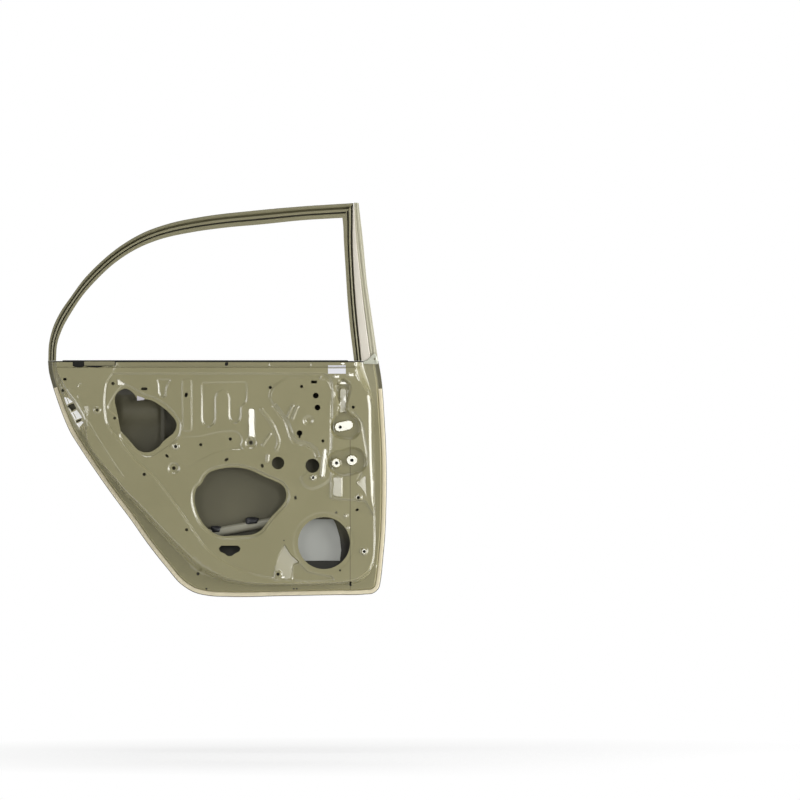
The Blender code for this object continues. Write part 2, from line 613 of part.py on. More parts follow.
def loft(name, left, right, section, thickness, finish, parent, step=LOFT_STEP):
    """A thin sheet swept between two edges; the section gives shares across and heights off the skin."""
    left, right = smooth(left, step / 4), smooth(right, step / 4)
    count = max(2, round(np.linalg.norm(np.diff(left, axis=0), axis=1).sum() / step))

    def spaced(line):
        along = np.concatenate(([0], np.cumsum(np.linalg.norm(np.diff(line, axis=0), axis=1))))
        at = np.linspace(0, along[-1], count + 1)
        return np.column_stack([np.interp(at, along, line[:, axis]) for axis in (0, 1)])

    left, right = spaced(left), spaced(right)
    vertices = []
    for outer, inner in zip(left, right):
        for share, height in section:
            x, z = outer + share * (inner - outer)
            vertices.append((x, skin_y(z) - height, z))
    width = len(section)
    faces = [(row * width + place, row * width + place + 1,
              (row + 1) * width + place + 1, (row + 1) * width + place)
             for row in range(count) for place in range(width - 1)]
    faces = [tuple(reversed(face)) for face in faces]
    return add_mesh(name, vertices, faces, finish, parent, thickness)


def hemmed_skin(form, finish, parent):
    """The outer panel: one sheet with the handle bowl and an edge folded back over the inner flange."""
    top = form.belt
    hem = form.hem
    bowl = pill(*placed(BOWL_SHARES[:2]), BOWL_SHARES[2] * DOOR_HEIGHT, 6)
    creases = []
    low, high = hem[:, 1].min(), hem[:, 1].max()
    rows = np.arange(low + SKIN_ROW, high - SKIN_ROW / 2, SKIN_ROW)
    for row in rows:
        hits = [start[0] + (row - start[1]) * (end[0] - start[0]) / (end[1] - start[1])
                for start, end in zip(hem, hem[1:]) if (start[1] > row) != (end[1] > row)]
        ends = np.array(((min(hits) + FLANGE_WIDTH, row), (max(hits) - FLANGE_WIDTH, row)))
        creases.append(smooth(ends, SKIN_ROW * 2))
    rings = [pushed(bowl, side) for side in (-BOWL_RAMP / 2, -BOWL_RAMP / 4, 0, BOWL_RAMP / 4, BOWL_RAMP / 2)]
    creases += [np.vstack((ring, ring[:1])) for ring in rings]
    holes = [disc(centre, BOLT_HOLE * 2, 10) for centre in placed(HANDLE_HOLE_SHARES)]
    flat, faces, origins = tiled(hem, holes, creases)
    distance, _ = reach(flat, bowl, closed=True)
    distance[~inside(flat, bowl)] *= -1
    weight = np.clip(0.5 + distance / BOWL_RAMP, 0, 1)
    weight = weight * weight * (3 - 2 * weight)
    y = skin_y(flat[:, 1]) - BOWL_DEPTH * weight
    vertices = [(x, depth, z) for (x, z), depth in zip(flat, y)]
    faces = [tuple(reversed(face)) for face in faces]
    fold = 2 * SKIN_SHEET + INNER_SHEET + 2 * SEAT_GAP
    at_rim = {}
    for place, sources in enumerate(origins):
        for source in sources:
            if source < len(hem):
                at_rim[source] = place
    previous = [at_rim[place] for place in range(len(hem))]
    for outward, drop in ((HEM_BULGE, fold / 2), (0.0, fold), (-HEM_RETURN, fold)):
        ring = pushed(hem, outward, closed=False)
        ring[[0, -1], 1] = top
        current = list(range(len(vertices), len(vertices) + len(ring)))
        vertices += [(x, skin_y(z) - drop, z) for x, z in ring]
        faces += [(previous[k], previous[k + 1], current[k + 1], current[k]) for k in range(len(ring) - 1)]
        previous = current
    return add_mesh("outer_panel", vertices, faces, finish, parent, SKIN_SHEET)


def stamped_panel(form, finish, parent):
    """The inner panel, stamped from one sheet, with the bolt holes of its hinge and check strap seats."""
    rim = pushed(form.hem, -HEM_EDGE, closed=False)
    rim[[0, -1], 1] = form.belt
    flat, faces, _ = tiled(rim, form.holes(), form.creases())
    depth = form.y(flat)
    low, high = (share * DOOR_HEIGHT for share in SEAT_SHARES)
    on_height = (flat[:, 1] > low - MERGE) & (flat[:, 1] < high + MERGE)
    on_seat = (abs(flat[:, 0] - form.seat_x) < SEAT_DRAFT) & on_height
    across = np.where(on_seat, form.seat_x, flat[:, 0])
    vertices = np.column_stack((across, depth, flat[:, 1]))
    return add_mesh("inner_panel", vertices, faces, finish, parent, INNER_SHEET)


def seat_cutters(form, parent, finish):
    """Guides for the hinge bolt holes and the check strap slot, which run along X."""
    near, far = form.seat_x - 4 * (HINGE_PLATE + NUT_PLATE), form.seat_x + OVERRUN
    middle, z = -SEAT_MIDDLE_DEPTH, SEAT_HEIGHTS["check"]
    half_width, half_height = CHECK_SLOT_WIDTH / 2, CHECK_SLOT_HEIGHT / 2
    slot = box("check_guide", (near, middle - half_width, z - half_height),
               (far, middle + half_width, z + half_height), finish, parent)
    cutters = {"check": [slot]}
    for name in ("upper", "lower"):
        heights = [SEAT_HEIGHTS[name] + side * BOLT_PITCH / 2 for side in (-1, 1)]
        cutters[name] = [rod(name + "_guide", (near, middle, z), (far, middle, z), BOLT_HOLE, 12, finish,
                             parent)
                         for z in heights]
    return cutters


def seat_plate(name, form, height, tall, start, thickness, finish, parent):
    """A plate behind a seat, parallel to it, from the skin side to the cabin side of the wall."""
    return box(name, (form.seat_x - start - thickness, -INNER_DEPTH + WALL_MARGIN, height - tall / 2),
               (form.seat_x - start, -2 * WALL_MARGIN, height + tall / 2), finish, parent)


def sealer(form, finish, parent):
    """The bead over the folded edge, with a flat section that steps down to the inner flange."""
    over = 2 * SKIN_SHEET + INNER_SHEET + 3 * SEAT_GAP
    under = SKIN_SHEET + INNER_SHEET + 2 * SEAT_GAP
    section = ((SEALER_EDGE, over), (HEM_RETURN + SEAT_GAP, over), (HEM_RETURN + SEAT_GAP, under),
               (SEALER_WIDTH, under), (SEALER_WIDTH - SEAT_GAP, over), (HEM_RETURN, over + SEALER_RISE),
               (2 * SEALER_EDGE, over + SEALER_RISE))
    rings = []
    for inward, drop in section:
        line = pushed(form.hem, -inward, closed=False)
        line[[0, -1], 1] = form.belt
        rings.append([(x, skin_y(z) - drop, z) for x, z in line])
    count, sides = len(form.hem), len(section)
    vertices = [rings[side][place] for place in range(count) for side in range(sides)]
    faces = [tuple(range(sides)), tuple(reversed(range((count - 1) * sides, count * sides)))]
    faces += [(place * sides + side, (place + 1) * sides + side, (place + 1) * sides + (side + 1) % sides,
               place * sides + (side + 1) % sides) for place in range(count - 1) for side in range(sides)]
    return add_mesh("hem_sealer", vertices, [tuple(reversed(face)) for face in faces], finish, parent)


def window_frame(finish, pale, bead, parent):
    """The roll-formed sash, the front upright, the pillar plate and the strip along the outline."""
    sash = (
        (1.00, SASH_LIP), (0.72, SASH_LIP), (0.69, SASH_WAIST), (0.65, SASH_WAIST), (0.62, SASH_CREST),
        (0.42, SASH_CREST), (0.38, SASH_GROOVE), (0.32, SASH_GROOVE), (0.29, SASH_STEP), (0.02, SASH_STEP),
        (0.00, SASH_STEP / 2), (0.03, SASH_DEPTH), (1.00, SASH_DEPTH),
    )
    loft("upper_sash", placed(SASH_OUTER_SHARES), placed(SASH_INNER_SHARES), sash, FRAME_SHEET, finish,
         parent)
    upright = (
        (0.00, SASH_LIP), (0.30, SASH_LIP), (0.34, SASH_WAIST), (0.42, SASH_WAIST), (0.46, SASH_CREST),
        (0.62, SASH_CREST), (0.66, SASH_GROOVE), (0.84, SASH_GROOVE), (0.88, SASH_STEP), (0.98, SASH_STEP),
        (0.98, SASH_DEPTH), (0.00, SASH_DEPTH),
    )
    loft("front_sash", placed(FRONT_LEFT_SHARES), placed(FRONT_RIGHT_SHARES), upright, FRAME_SHEET, finish,
         parent)
    plate = ((0.01, SASH_DEPTH), (0.01, PILLAR_DEPTH), (0.86, PILLAR_DEPTH),
             (0.90, STRIP_DEPTH + 2 * SEAT_GAP + FRAME_SHEET),
             (1.00, STRIP_DEPTH + 2 * SEAT_GAP + FRAME_SHEET))
    loft("pillar_plate", placed(PILLAR_LEFT_SHARES), placed(PILLAR_EDGE_SHARES), plate, FRAME_SHEET, pale,
         parent)
    strip = ((0.00, STRIP_DEPTH), (0.94, STRIP_DEPTH), (1.00, STRIP_DEPTH / 2), (0.98, FRAME_SHEET))
    loft("pillar_outer_strip", placed(STRIP_LEFT_SHARES), placed(STRIP_RIGHT_SHARES), strip, FRAME_SHEET, bead,
         parent)


def plate_on(name, outline, holes, height_of, thickness, finish, parent, creases=(), outward=False):
    """A plate that follows a surface; height_of gives its cabin side's y at each point."""
    flat, faces, _ = tiled(outline, holes, list(creases))
    y = height_of(flat)
    vertices = [(x, depth, z) for (x, z), depth in zip(flat, y)]
    if outward:
        faces = [tuple(reversed(face)) for face in faces]
    return add_mesh(name, vertices, faces, finish, parent, thickness)


def corner_plates(form, finish, parent):
    """The gusset at the foot of the front upright."""
    holes = [disc(centre, BOLT_HOLE, 10) for centre in placed(GUSSET_HOLE_SHARES)]
    return plate_on("belt_gusset_front", placed(GUSSET_SHARES), holes,
                    lambda flat: skin_y(flat[:, 1]) - PILLAR_DEPTH - SEAT_GAP - GUSSET_SHEET,
                    GUSSET_SHEET, finish, parent)


def strip_along_x(name, ends, section, thickness, finish, parent, step=4 * LOFT_STEP):
    """A sheet bent to a section of (y, z) points and run along X."""
    low, high = (share * DOOR_WIDTH for share in ends)
    count = max(1, round((high - low) / step))
    stations = np.linspace(low, high, count + 1)
    vertices = [(x, y, z) for x in stations for y, z in section]
    width = len(section)
    faces = [(row * width + place, row * width + place + 1,
              (row + 1) * width + place + 1, (row + 1) * width + place)
             for row in range(count) for place in range(width - 1)]
    return add_mesh(name, vertices, faces, finish, parent, thickness)


def belt_rails(form, finish, parent):
    """The rails on both sides of the glass slot."""
    top = form.belt + STEP_RUN / 2
    low = top - 4 * RAIL_DEPTH
    web = -INNER_DEPTH + BELT_DROP - RIB_RISE + INNER_SHEET + SEAT_GAP
    section = ((web + RAIL_DEPTH, top - RAIL_LIP), (web + RAIL_DEPTH, top), (web, top), (web, low),
               (web + RAIL_DEPTH, low), (web + RAIL_DEPTH, low + RAIL_LIP))
    strip_along_x("belt_rail_inner", RAIL_SHARES, section, PLATE_SHEET, finish, parent)
    seat = SKIN_SHEET + SEAT_GAP
    top = form.belt - SEAT_GAP
    rows = [top, top - RAIL_LIP * 2, top - RAIL_LIP * 3, low + RAIL_LIP * 3, low + RAIL_LIP * 2, low]
    depths = [seat, seat, OUTER_RAIL_DEPTH, OUTER_RAIL_DEPTH, seat, seat]
    section = [(float(skin_y(z)) - depth - PLATE_SHEET, z) for z, depth in zip(rows, depths)]
    strip_along_x("belt_rail_outer", OUTER_RAIL_SHARES, section, PLATE_SHEET, finish, parent)


def tube_ends():
    """Both ends of the side-impact tube's axis."""
    rear, front = placed((TUBE_REAR_SHARES, TUBE_FRONT_SHARES))
    return [Vector((x, float(skin_y(z)) - TUBE_DEPTH, z)) for x, z in (rear, front)]


def intrusion_beam(finish, parent):
    """The side-impact tube."""
    start, end = tube_ends()
    tube("intrusion_beam", start, end, TUBE_RADIUS, TUBE_RADIUS - TUBE_WALL, 20, finish, parent)


def swept_sheet(name, line, sweep, thickness, finish, parent):
    """A sheet bent along a line of points and carried along one sweep vector."""
    line = [Vector(point) for point in line]
    sweep = Vector(sweep)
    count = len(line)
    faces = [(k, k + 1, k + 1 + count, k + count) for k in range(count - 1)]
    return add_mesh(name, line + [point + sweep for point in line], faces, finish, parent, thickness)


def collar(name, end, inward, past, finish, parent):
    """The socket round one end of the tube."""
    inner = TUBE_RADIUS + SEAT_GAP
    return tube(name, end - inward * past, end + inward * COLLAR_LENGTH, inner + COLLAR_WALL, inner, 20, finish,
                parent)


def beam_bracket_front(form, finish, parent):
    """A socket on a bent strap that stands on the lower hinge plate."""
    start, end = tube_ends()
    inward = (start - end).normalized()
    web_x = end.x + 2 * COLLAR_WALL
    plate_x = form.seat_x - INNER_SHEET - HINGE_PLATE - 2 * SEAT_GAP - COLLAR_WALL
    shelf = end.z + TUBE_RADIUS + 2 * COLLAR_WALL
    top = SEAT_HEIGHTS["lower"] - NUT_PLATE_HEIGHT / 2 - 2 * SEAT_GAP
    y = end.y - TUBE_RADIUS
    socket = collar("beam_bracket_front", end, inward, 2.5 * COLLAR_WALL, finish, parent)
    line = ((web_x, y, end.z - TUBE_RADIUS), (web_x, y, shelf), (plate_x, y, shelf), (plate_x, y, top))
    strap = swept_sheet("front_strap", line, (0, 1.8 * TUBE_RADIUS, 0), COLLAR_WALL, finish, parent)
    cut(socket, strap, "UNION")


def beam_bracket_rear(form, finish, parent):
    """A socket on a bent strap that stands on the back of the inner panel."""
    start, end = tube_ends()
    inward = (end - start).normalized()
    web_x = start.x - 2 * COLLAR_WALL
    back = -INNER_DEPTH - FIELD_RISE + INNER_SHEET + SEAT_GAP
    socket = collar("beam_bracket_rear", start, inward, 2.5 * COLLAR_WALL, finish, parent)
    low = start.z - WEB_HEIGHT / 2
    line = ((web_x, start.y + TUBE_RADIUS, low), (web_x, back, low), (web_x - 1.5 * WEB_HEIGHT, back, low))
    strap = swept_sheet("rear_strap", line, (0, 0, WEB_HEIGHT), -COLLAR_WALL, finish, parent)
    cut(socket, strap, "UNION")


def mastic_pads(finish, parent):
    """Pads that keep the skin from drumming on the tube."""
    start, end = tube_ends()
    guide = rod("pad_guide", start, end, TUBE_RADIUS + SEAT_GAP, 20, finish, parent)
    for number, share in enumerate(MASTIC_SHARES, 1):
        middle = start.lerp(end, share)
        centre = (middle.x, middle.z + PAD_OFFSET)
        turns = np.arange(PAD_SIDES) * (math.tau / PAD_SIDES)
        outline = np.array(centre) + np.column_stack((np.cos(turns), np.sin(turns))) * PAD_SIZE
        count = len(outline)
        seat = SKIN_SHEET + SEAT_GAP
        lower = [(x, skin_y(z) - seat, z) for x, z in outline]
        upper = [(x, middle.y - TUBE_WALL, z) for x, z in outline]
        faces = [tuple(range(count)), tuple(reversed(range(count, 2 * count)))]
        faces += [(k, k + count, (k + 1) % count + count, (k + 1) % count) for k in range(count)]
        faces = [tuple(reversed(face)) for face in faces]
        pad = add_mesh("mastic_pad_%d" % number, lower + upper, faces, finish, parent)
        cut(pad, guide)


def glass_channel(name, shares, finish, parent):
    """A U-shaped guide for the edge of the glass, open towards the glass."""
    line = smooth(placed(shares), 2 * LOFT_STEP)
    half = INNER_DEPTH - BELT_DROP + RIB_RISE - INNER_SHEET - 2 * SEAT_GAP - RAIL_DEPTH
    top = float(skin_y(line[0][1]))
    low_y, high_y = -half, top - OUTER_RAIL_DEPTH - PLATE_SHEET - SEAT_GAP
    width = high_y - low_y
    side = -1 if shares[0][0] > 0.5 else 1
    section = ((side * CHANNEL_LIP, 0.0), (0.0, 0.0), (0.0, width), (side * CHANNEL_LIP, width))
    vertices = []
    for x, z in line:
        base = float(skin_y(z)) + low_y - top
        vertices += [(x + across, base + deep, z) for across, deep in section]
    faces = [(row * 4 + k, row * 4 + k + 1, (row + 1) * 4 + k + 1, (row + 1) * 4 + k)
             for row in range(len(line) - 1) for k in range(3)]
    if side < 0:
        faces = [tuple(reversed(face)) for face in faces]
    return add_mesh(name, vertices, faces, finish, parent, PLATE_SHEET)


def weld_nuts(form, finish, parent):
    """Nuts behind the fixing holes."""
    for number, centre in enumerate(placed(NUT_SHARES), 1):
        near = disc(centre, NUT_WIDTH / 2, 6)
        level = float(form.y(near).max()) + INNER_SHEET + SEAT_GAP
        x, z = centre
        tube("weld_nut_%d" % number, (x, level, z), (x, level + NUT_HEIGHT, z), NUT_WIDTH / 2, NUT_BORE, 12,
             finish, parent)


def handle_plate(form, finish, parent):
    """The handle's bracket on the skin, with a tab that reaches in towards the cabin."""
    holes = [disc(centre, BOLT_HOLE * 2, 10) for centre in placed(HANDLE_HOLE_SHARES)]
    seat = SKIN_SHEET + SEAT_GAP
    plate = plate_on("handle_reinforcement", placed(HANDLE_PLATE_SHARES), holes,
                     lambda flat: skin_y(flat[:, 1]) - seat - PLATE_SHEET, PLATE_SHEET, finish, parent)
    x, z = placed([TAB_SHARES])[0]
    face = float(skin_y(z)) - seat - PLATE_SHEET
    tab = box("handle_tab", (x - TAB_WIDTH / 2, face - TAB_REACH, z),
              (x + TAB_WIDTH / 2, face + PLATE_SHEET / 2, z + PLATE_SHEET), finish, parent)
    cut(plate, tab, "UNION")


def latch_plate(form, finish, parent):
    """A plate nested behind the latch face, which it follows."""
    holes = [placed(LATCH_OPENING_SHARES), placed(LATCH_SLOT_SHARES)]
    outline = smooth(placed(LATCH_PLATE_SHARES), closed=True)
    plate = plate_on("latch_reinforcement", outline, holes, form.y, PLATE_SHEET / 2, finish, parent,
                     form.creases())
    nest = plate.modifiers.new("nest", "DISPLACE")
    nest.strength = -INNER_SHEET - 2 * SEAT_GAP
    nest.mid_level = 0.0
    plate.modifiers.move(1, 0)
    return plate


def damping(finish, parent):
    """The sheet that stills the skin behind the speaker."""
    seat = SKIN_SHEET + SEAT_GAP
    return plate_on("damping_sheet", placed(DAMPING_SHARES), [],
                    lambda flat: skin_y(flat[:, 1]) - seat - DAMPING_SHEET, DAMPING_SHEET, finish, parent)


SEAT_MIDDLE_DEPTH = 0.0390
SEAT_HEIGHTS = {"upper": 0.444 * DOOR_HEIGHT, "check": 0.370 * DOOR_HEIGHT, "lower": 0.290 * DOOR_HEIGHT}
HINGE_PLATE_HEIGHT = 0.0860
NUT_PLATE_HEIGHT = 0.0640
CHECK_PLATE_HEIGHT = 0.0500


def hinge_side(form, steel, parent, cutters):
    """The plates behind the hinge and check strap seats."""
    first = INNER_SHEET + SEAT_GAP
    second = first + HINGE_PLATE + SEAT_GAP
    plates = (
        ("hinge_reinforcement_upper", "upper", HINGE_PLATE_HEIGHT, first, HINGE_PLATE),
        ("hinge_nut_plate_upper", "upper", NUT_PLATE_HEIGHT, second, NUT_PLATE),
        ("hinge_reinforcement_lower", "lower", HINGE_PLATE_HEIGHT, first, HINGE_PLATE),
        ("hinge_nut_plate_lower", "lower", NUT_PLATE_HEIGHT, second, NUT_PLATE),
        ("check_strap_reinforcement", "check", CHECK_PLATE_HEIGHT, first, HINGE_PLATE),
    )
    for name, seat, tall, start, thickness in plates:
        plate = seat_plate(name, form, SEAT_HEIGHTS[seat], tall, start, thickness, steel, parent)
        for cutter in cutters[seat]:
            cut(plate, cutter)


def build():
    """Build the whole door about the middle of its upper hinge seat."""
    for leftover in list(bpy.data.objects):
        bpy.data.objects.remove(leftover)
    form = PanelForm()
    seat = Vector((form.seat_x, -SEAT_MIDDLE_DEPTH, SEAT_HEIGHTS["upper"]))
    origin = bpy.data.objects.new("door_origin", None)
    bpy.context.scene.collection.objects.link(origin)
    origin.location = -seat

    paint = material("primer_paint", (0.30, 0.27, 0.17), 0.38)
    inside_paint = material("inner_primer", (0.22, 0.20, 0.13), 0.45)
    pale = material("pale_primer", (0.62, 0.58, 0.50), 0.40)
    bead = material("seam_sealer", (0.80, 0.72, 0.58), 0.60)
    mastic = material("mastic", (0.02, 0.02, 0.03), 0.75)
    damper = material("damping", (0.30, 0.31, 0.30), 0.70)
    steel = material("coated_steel", (0.24, 0.22, 0.15), 0.45)

    panel = stamped_panel(form, paint, origin)
    cutters = seat_cutters(form, origin, paint)
    for seat_guides in cutters.values():
        for cutter in seat_guides:
            cut(panel, cutter)
    hemmed_skin(form, inside_paint, origin)
    sealer(form, bead, origin)
    window_frame(paint, pale, bead, origin)
    corner_plates(form, paint, origin)
    belt_rails(form, paint, origin)
    intrusion_beam(steel, origin)
    beam_bracket_front(form, steel, origin)
    beam_bracket_rear(form, steel, origin)
    mastic_pads(mastic, origin)
    hinge_side(form, steel, origin, cutters)
    channels = (("front_glass_channel", FRONT_CHANNEL_SHARES), ("rear_glass_channel", REAR_CHANNEL_SHARES))
    for name, shares in channels:
        glass_channel(name, shares, steel, origin)
    weld_nuts(form, steel, origin)
    handle_plate(form, steel, origin)
    latch_plate(form, steel, origin)
    damping(damper, origin)


build()
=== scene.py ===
"""Looks of the bare rear car door: fine stamped sheets, painted finishes, floor, lamps and camera."""

from __future__ import annotations

import logging
import math
from collections.abc import Sequence
from dataclasses import dataclass, field
from enum import Enum
from typing import Any

import bmesh
import bpy
import numpy as np
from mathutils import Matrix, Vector
from mathutils.geometry import delaunay_2d_cdt

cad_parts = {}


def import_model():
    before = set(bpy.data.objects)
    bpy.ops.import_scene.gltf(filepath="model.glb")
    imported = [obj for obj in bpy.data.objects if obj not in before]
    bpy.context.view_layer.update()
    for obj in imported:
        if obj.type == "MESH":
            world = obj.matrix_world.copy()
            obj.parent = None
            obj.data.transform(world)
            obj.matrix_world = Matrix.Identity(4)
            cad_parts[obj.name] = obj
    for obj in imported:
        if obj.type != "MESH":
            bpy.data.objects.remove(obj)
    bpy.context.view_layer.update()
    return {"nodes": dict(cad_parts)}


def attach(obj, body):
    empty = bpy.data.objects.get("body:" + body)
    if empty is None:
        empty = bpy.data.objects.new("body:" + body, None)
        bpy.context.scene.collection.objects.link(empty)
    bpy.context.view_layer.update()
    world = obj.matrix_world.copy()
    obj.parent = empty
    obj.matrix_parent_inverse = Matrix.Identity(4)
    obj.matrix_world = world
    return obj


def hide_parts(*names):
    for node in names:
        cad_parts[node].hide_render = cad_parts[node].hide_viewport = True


LOG = logging.getLogger("door")

Colour = tuple[float, float, float]
Shares = Sequence[Sequence[float]]
# Shares of the door's width and height by turns, in ten-thousandths
Places = Sequence[int]
PLACES_UNIT = 10000
# Parts of a millimetre in which holes are given, and millimetres in a metre
TENTHS = 10
MILLI = 1000
# Steps in metres along a drawn curve, along a band and round the ends of a band
CURVE_STEP = 0.006
BAND_STEP = 0.005
END_STEP = 0.004
# Largest share of a side that a rounded corner takes up
CORNER_MOST = 0.45


@dataclass(frozen=True)
class DoorSize:
    """The sizes that the solids have too, in metres, with places given in shares of width and height."""

    width: float = 0.965
    height: float = 1.120
    inner_depth: float = 0.070
    belt_lean: float = 0.0227
    foot_lean: float = 0.0276
    bulge_share: float = 0.375
    belt_share: float = 0.600
    skin_sheet: float = 0.0008
    inner_sheet: float = 0.0010
    frame_sheet: float = 0.0012
    seat_gap: float = 0.0003
    seat_share: float = 0.962
    seat_depth: float = 0.039
    seat_height_share: float = 0.444

    @property
    def belt(self) -> float:
        """Height of the belt above the door's bottom edge."""
        return self.belt_share * self.height

    @property
    def seat(self) -> np.ndarray:
        """Middle of the upper hinge seat, where the part has its origin."""
        height = self.seat_height_share * self.height
        return np.array((self.seat_share * self.width, -self.seat_depth, height))

    def placed(self, places: Places) -> np.ndarray:
        """Turn places into metres across and up, one place in each row."""
        return np.array(places).reshape(-1, 2) / PLACES_UNIT * (self.width, self.height)

    def skin_y(self, height: np.ndarray | float) -> np.ndarray:
        """Give the y of the skin's outer face at heights above the bottom edge."""
        share = np.asarray(height) / self.height - self.bulge_share
        above = share / (self.belt_share - self.bulge_share)
        below = share / self.bulge_share
        return np.where(share > 0, -self.belt_lean * above * above, -self.foot_lean * below * below)


DOOR = DoorSize()


def eased(share: np.ndarray) -> np.ndarray:
    """Ease a share from 0 to 1 in and out."""
    share = np.clip(share, 0, 1)
    return share * share * (3 - 2 * share)


def corner_curve(
    before: np.ndarray, here: np.ndarray, after: np.ndarray, reach: float, most: float, steps: int
) -> list[np.ndarray]:
    """Round one corner of a line.

    Args:
        before: the point before the corner.
        here: the corner.
        after: the point after it.
        reach: how far from the corner the curve starts and ends.
        most: largest share of a side that the curve may take.
        steps: number of straight pieces.

    Returns:
        The points that take the corner's place.
    """
    ends = []
    for side in (before - here, after - here):
        length = np.linalg.norm(side)
        ends.append(here + side / length * min(reach, length * most))
    start, end = ends
    return [(1 - t) ** 2 * start + 2 * t * (1 - t) * here + t**2 * end for t in np.linspace(0, 1, steps + 1)]


class Outline:
    """A line or a closed loop of points across and up the door."""

    def __init__(self, points: np.ndarray, closed: bool = False) -> None:
        """Keep the points, anticlockwise if they close."""
        self.points = np.asarray(points, float)
        self.closed = closed
        if closed and self.area() < 0:
            self.points = self.points[::-1]

    @classmethod
    def of(cls, places: Places, closed: bool = True) -> Outline:
        """Make an outline from places on the door."""
        return cls(DOOR.placed(places), closed)

    @classmethod
    def disc(cls, centre: Sequence[float], radius: float, step: float) -> Outline:
        """Make a round loop with sides about a step long."""
        sides = max(10, round(math.tau * radius / step))
        turns = np.arange(sides) * math.tau / sides
        return cls(np.asarray(centre) + radius * np.column_stack((np.cos(turns), np.sin(turns))), True)

    @classmethod
    def pill(cls, start: Sequence[float], end: Sequence[float], width: float, step: float) -> Outline:
        """Make a slot with round ends.

        Args:
            start: middle of one round end.
            end: middle of the other.
            width: width of the slot.
            step: rough length of a side.

        Returns:
            The closed loop.
        """
        start, end = np.asarray(start, float), np.asarray(end, float)
        heading = math.atan2(end[1] - start[1], end[0] - start[0])
        sides = max(4, round(math.pi * width / 2 / step))
        loop = []
        for centre, turn in ((end, heading), (start, heading + math.pi)):
            for side in range(sides + 1):
                angle = turn + math.pi * (side / sides - 0.5)
                loop.append(centre + width / 2 * np.array((math.cos(angle), math.sin(angle))))
        return cls(np.array(loop), True)

    def area(self) -> float:
        """Signed area of the loop, above zero if it runs anticlockwise."""
        ahead = np.roll(self.points, -1, 0)
        return float((self.points[:, 0] * ahead[:, 1] - ahead[:, 0] * self.points[:, 1]).sum() / 2)

    def spans(self) -> tuple[np.ndarray, np.ndarray]:
        """Starts and ends of the straight stretches."""
        if self.closed:
            return self.points, np.roll(self.points, -1, 0)
        return self.points[:-1], self.points[1:]

    def along(self) -> np.ndarray:
        """Way along an open line from its start to each of its points."""
        return np.concatenate(([0], np.cumsum(np.linalg.norm(np.diff(self.points, axis=0), axis=1))))

    def smoothed(self, step: float) -> Outline:
        """Draw a smooth curve through the points.

        Args:
            step: rough distance between the new points.

        Returns:
            The smooth outline.
        """
        points = self.points
        # The curve runs on over both ends of a loop and is held at the ends of an open line
        held = (points[-1:], points, points[:2]) if self.closed else (points[:1], points, points[-1:])
        knots = np.vstack(held)
        curve = []
        for before, start, end, after in zip(knots, knots[1:], knots[2:], knots[3:]):
            span, back, ahead = math.dist(start, end), math.dist(before, start), math.dist(end, after)
            chord = end - start
            leave, arrive = chord, chord
            if back:
                leave = span * ((start - before) / back - (end - before) / (back + span) + chord / span)
            if ahead:
                arrive = span * (chord / span - (after - start) / (span + ahead) + (after - end) / ahead)
            pieces = max(1, round(span / step))
            for t in np.arange(pieces) / pieces:
                curve.append(
                    (2 * t**3 - 3 * t**2 + 1) * start
                    + (t**3 - 2 * t**2 + t) * leave
                    + (3 * t**2 - 2 * t**3) * end
                    + (t**3 - t**2) * arrive
                )
        if not self.closed:
            curve.append(points[-1])
        return Outline(np.array(curve), self.closed)

    def filleted(self, radius: float, steps: int = 4) -> Outline:
        """Round the corners of the loop by cutting them over a length."""
        trios = zip(np.roll(self.points, 1, 0), self.points, np.roll(self.points, -1, 0))
        curves = [corner_curve(*trio, radius, CORNER_MOST, steps) for trio in trios]
        return Outline(np.vstack(curves), True)

    def spaced(self, step: float) -> Outline:
        """Put points about a step apart along the straight stretches."""
        pieces = []
        for start, end in zip(*self.spans()):
            count = max(1, round(float(np.linalg.norm(end - start)) / step))
            pieces.append(start + (end - start) * (np.arange(count) / count)[:, None])
        if not self.closed:
            pieces.append(self.points[-1:])
        return Outline(np.vstack(pieces), self.closed)

    def pushed(self, distance: float) -> Outline:
        """Move the line sideways: out of a loop, or to the right of an open line's run."""
        points = self.points
        if self.closed:
            run = np.roll(points, -1, 0) - np.roll(points, 1, 0)
        else:
            run = np.vstack((points[1:], points[-1:])) - np.vstack((points[:1], points[:-1]))
        run = run / np.maximum(np.linalg.norm(run, axis=1), 1e-9)[:, None]
        moved = Outline(points, False)
        moved.points = points + distance * np.column_stack((run[:, 1], -run[:, 0]))
        moved.closed = self.closed
        return moved

    def contains(self, points: np.ndarray) -> np.ndarray:
        """Say for each point whether the loop holds it."""
        held = np.zeros(len(points), bool)
        for start, end in zip(self.points, np.roll(self.points, -1, 0)):
            if start[1] == end[1]:
                continue
            spans = (start[1] > points[:, 1]) != (end[1] > points[:, 1])
            at = start[0] + (points[:, 1] - start[1]) * (end[0] - start[0]) / (end[1] - start[1])
            held ^= spans & (points[:, 0] < at)
        return held

    def nearest(self, points: np.ndarray) -> tuple[np.ndarray, np.ndarray]:
        """Find the nearest place on the line.

        Args:
            points: places to measure from.

        Returns:
            The distances and the nearest places.
        """
        best = np.full(len(points), np.inf)
        places = np.zeros_like(points)
        for start, end in zip(*self.spans()):
            run = end - start
            share = np.clip((points - start) @ run / max(float(run @ run), 1e-12), 0, 1)
            foot = start + share[:, None] * run
            distance = np.linalg.norm(points - foot, axis=1)
            closer = distance < best
            best[closer] = distance[closer]
            places[closer] = foot[closer]
        return best, places

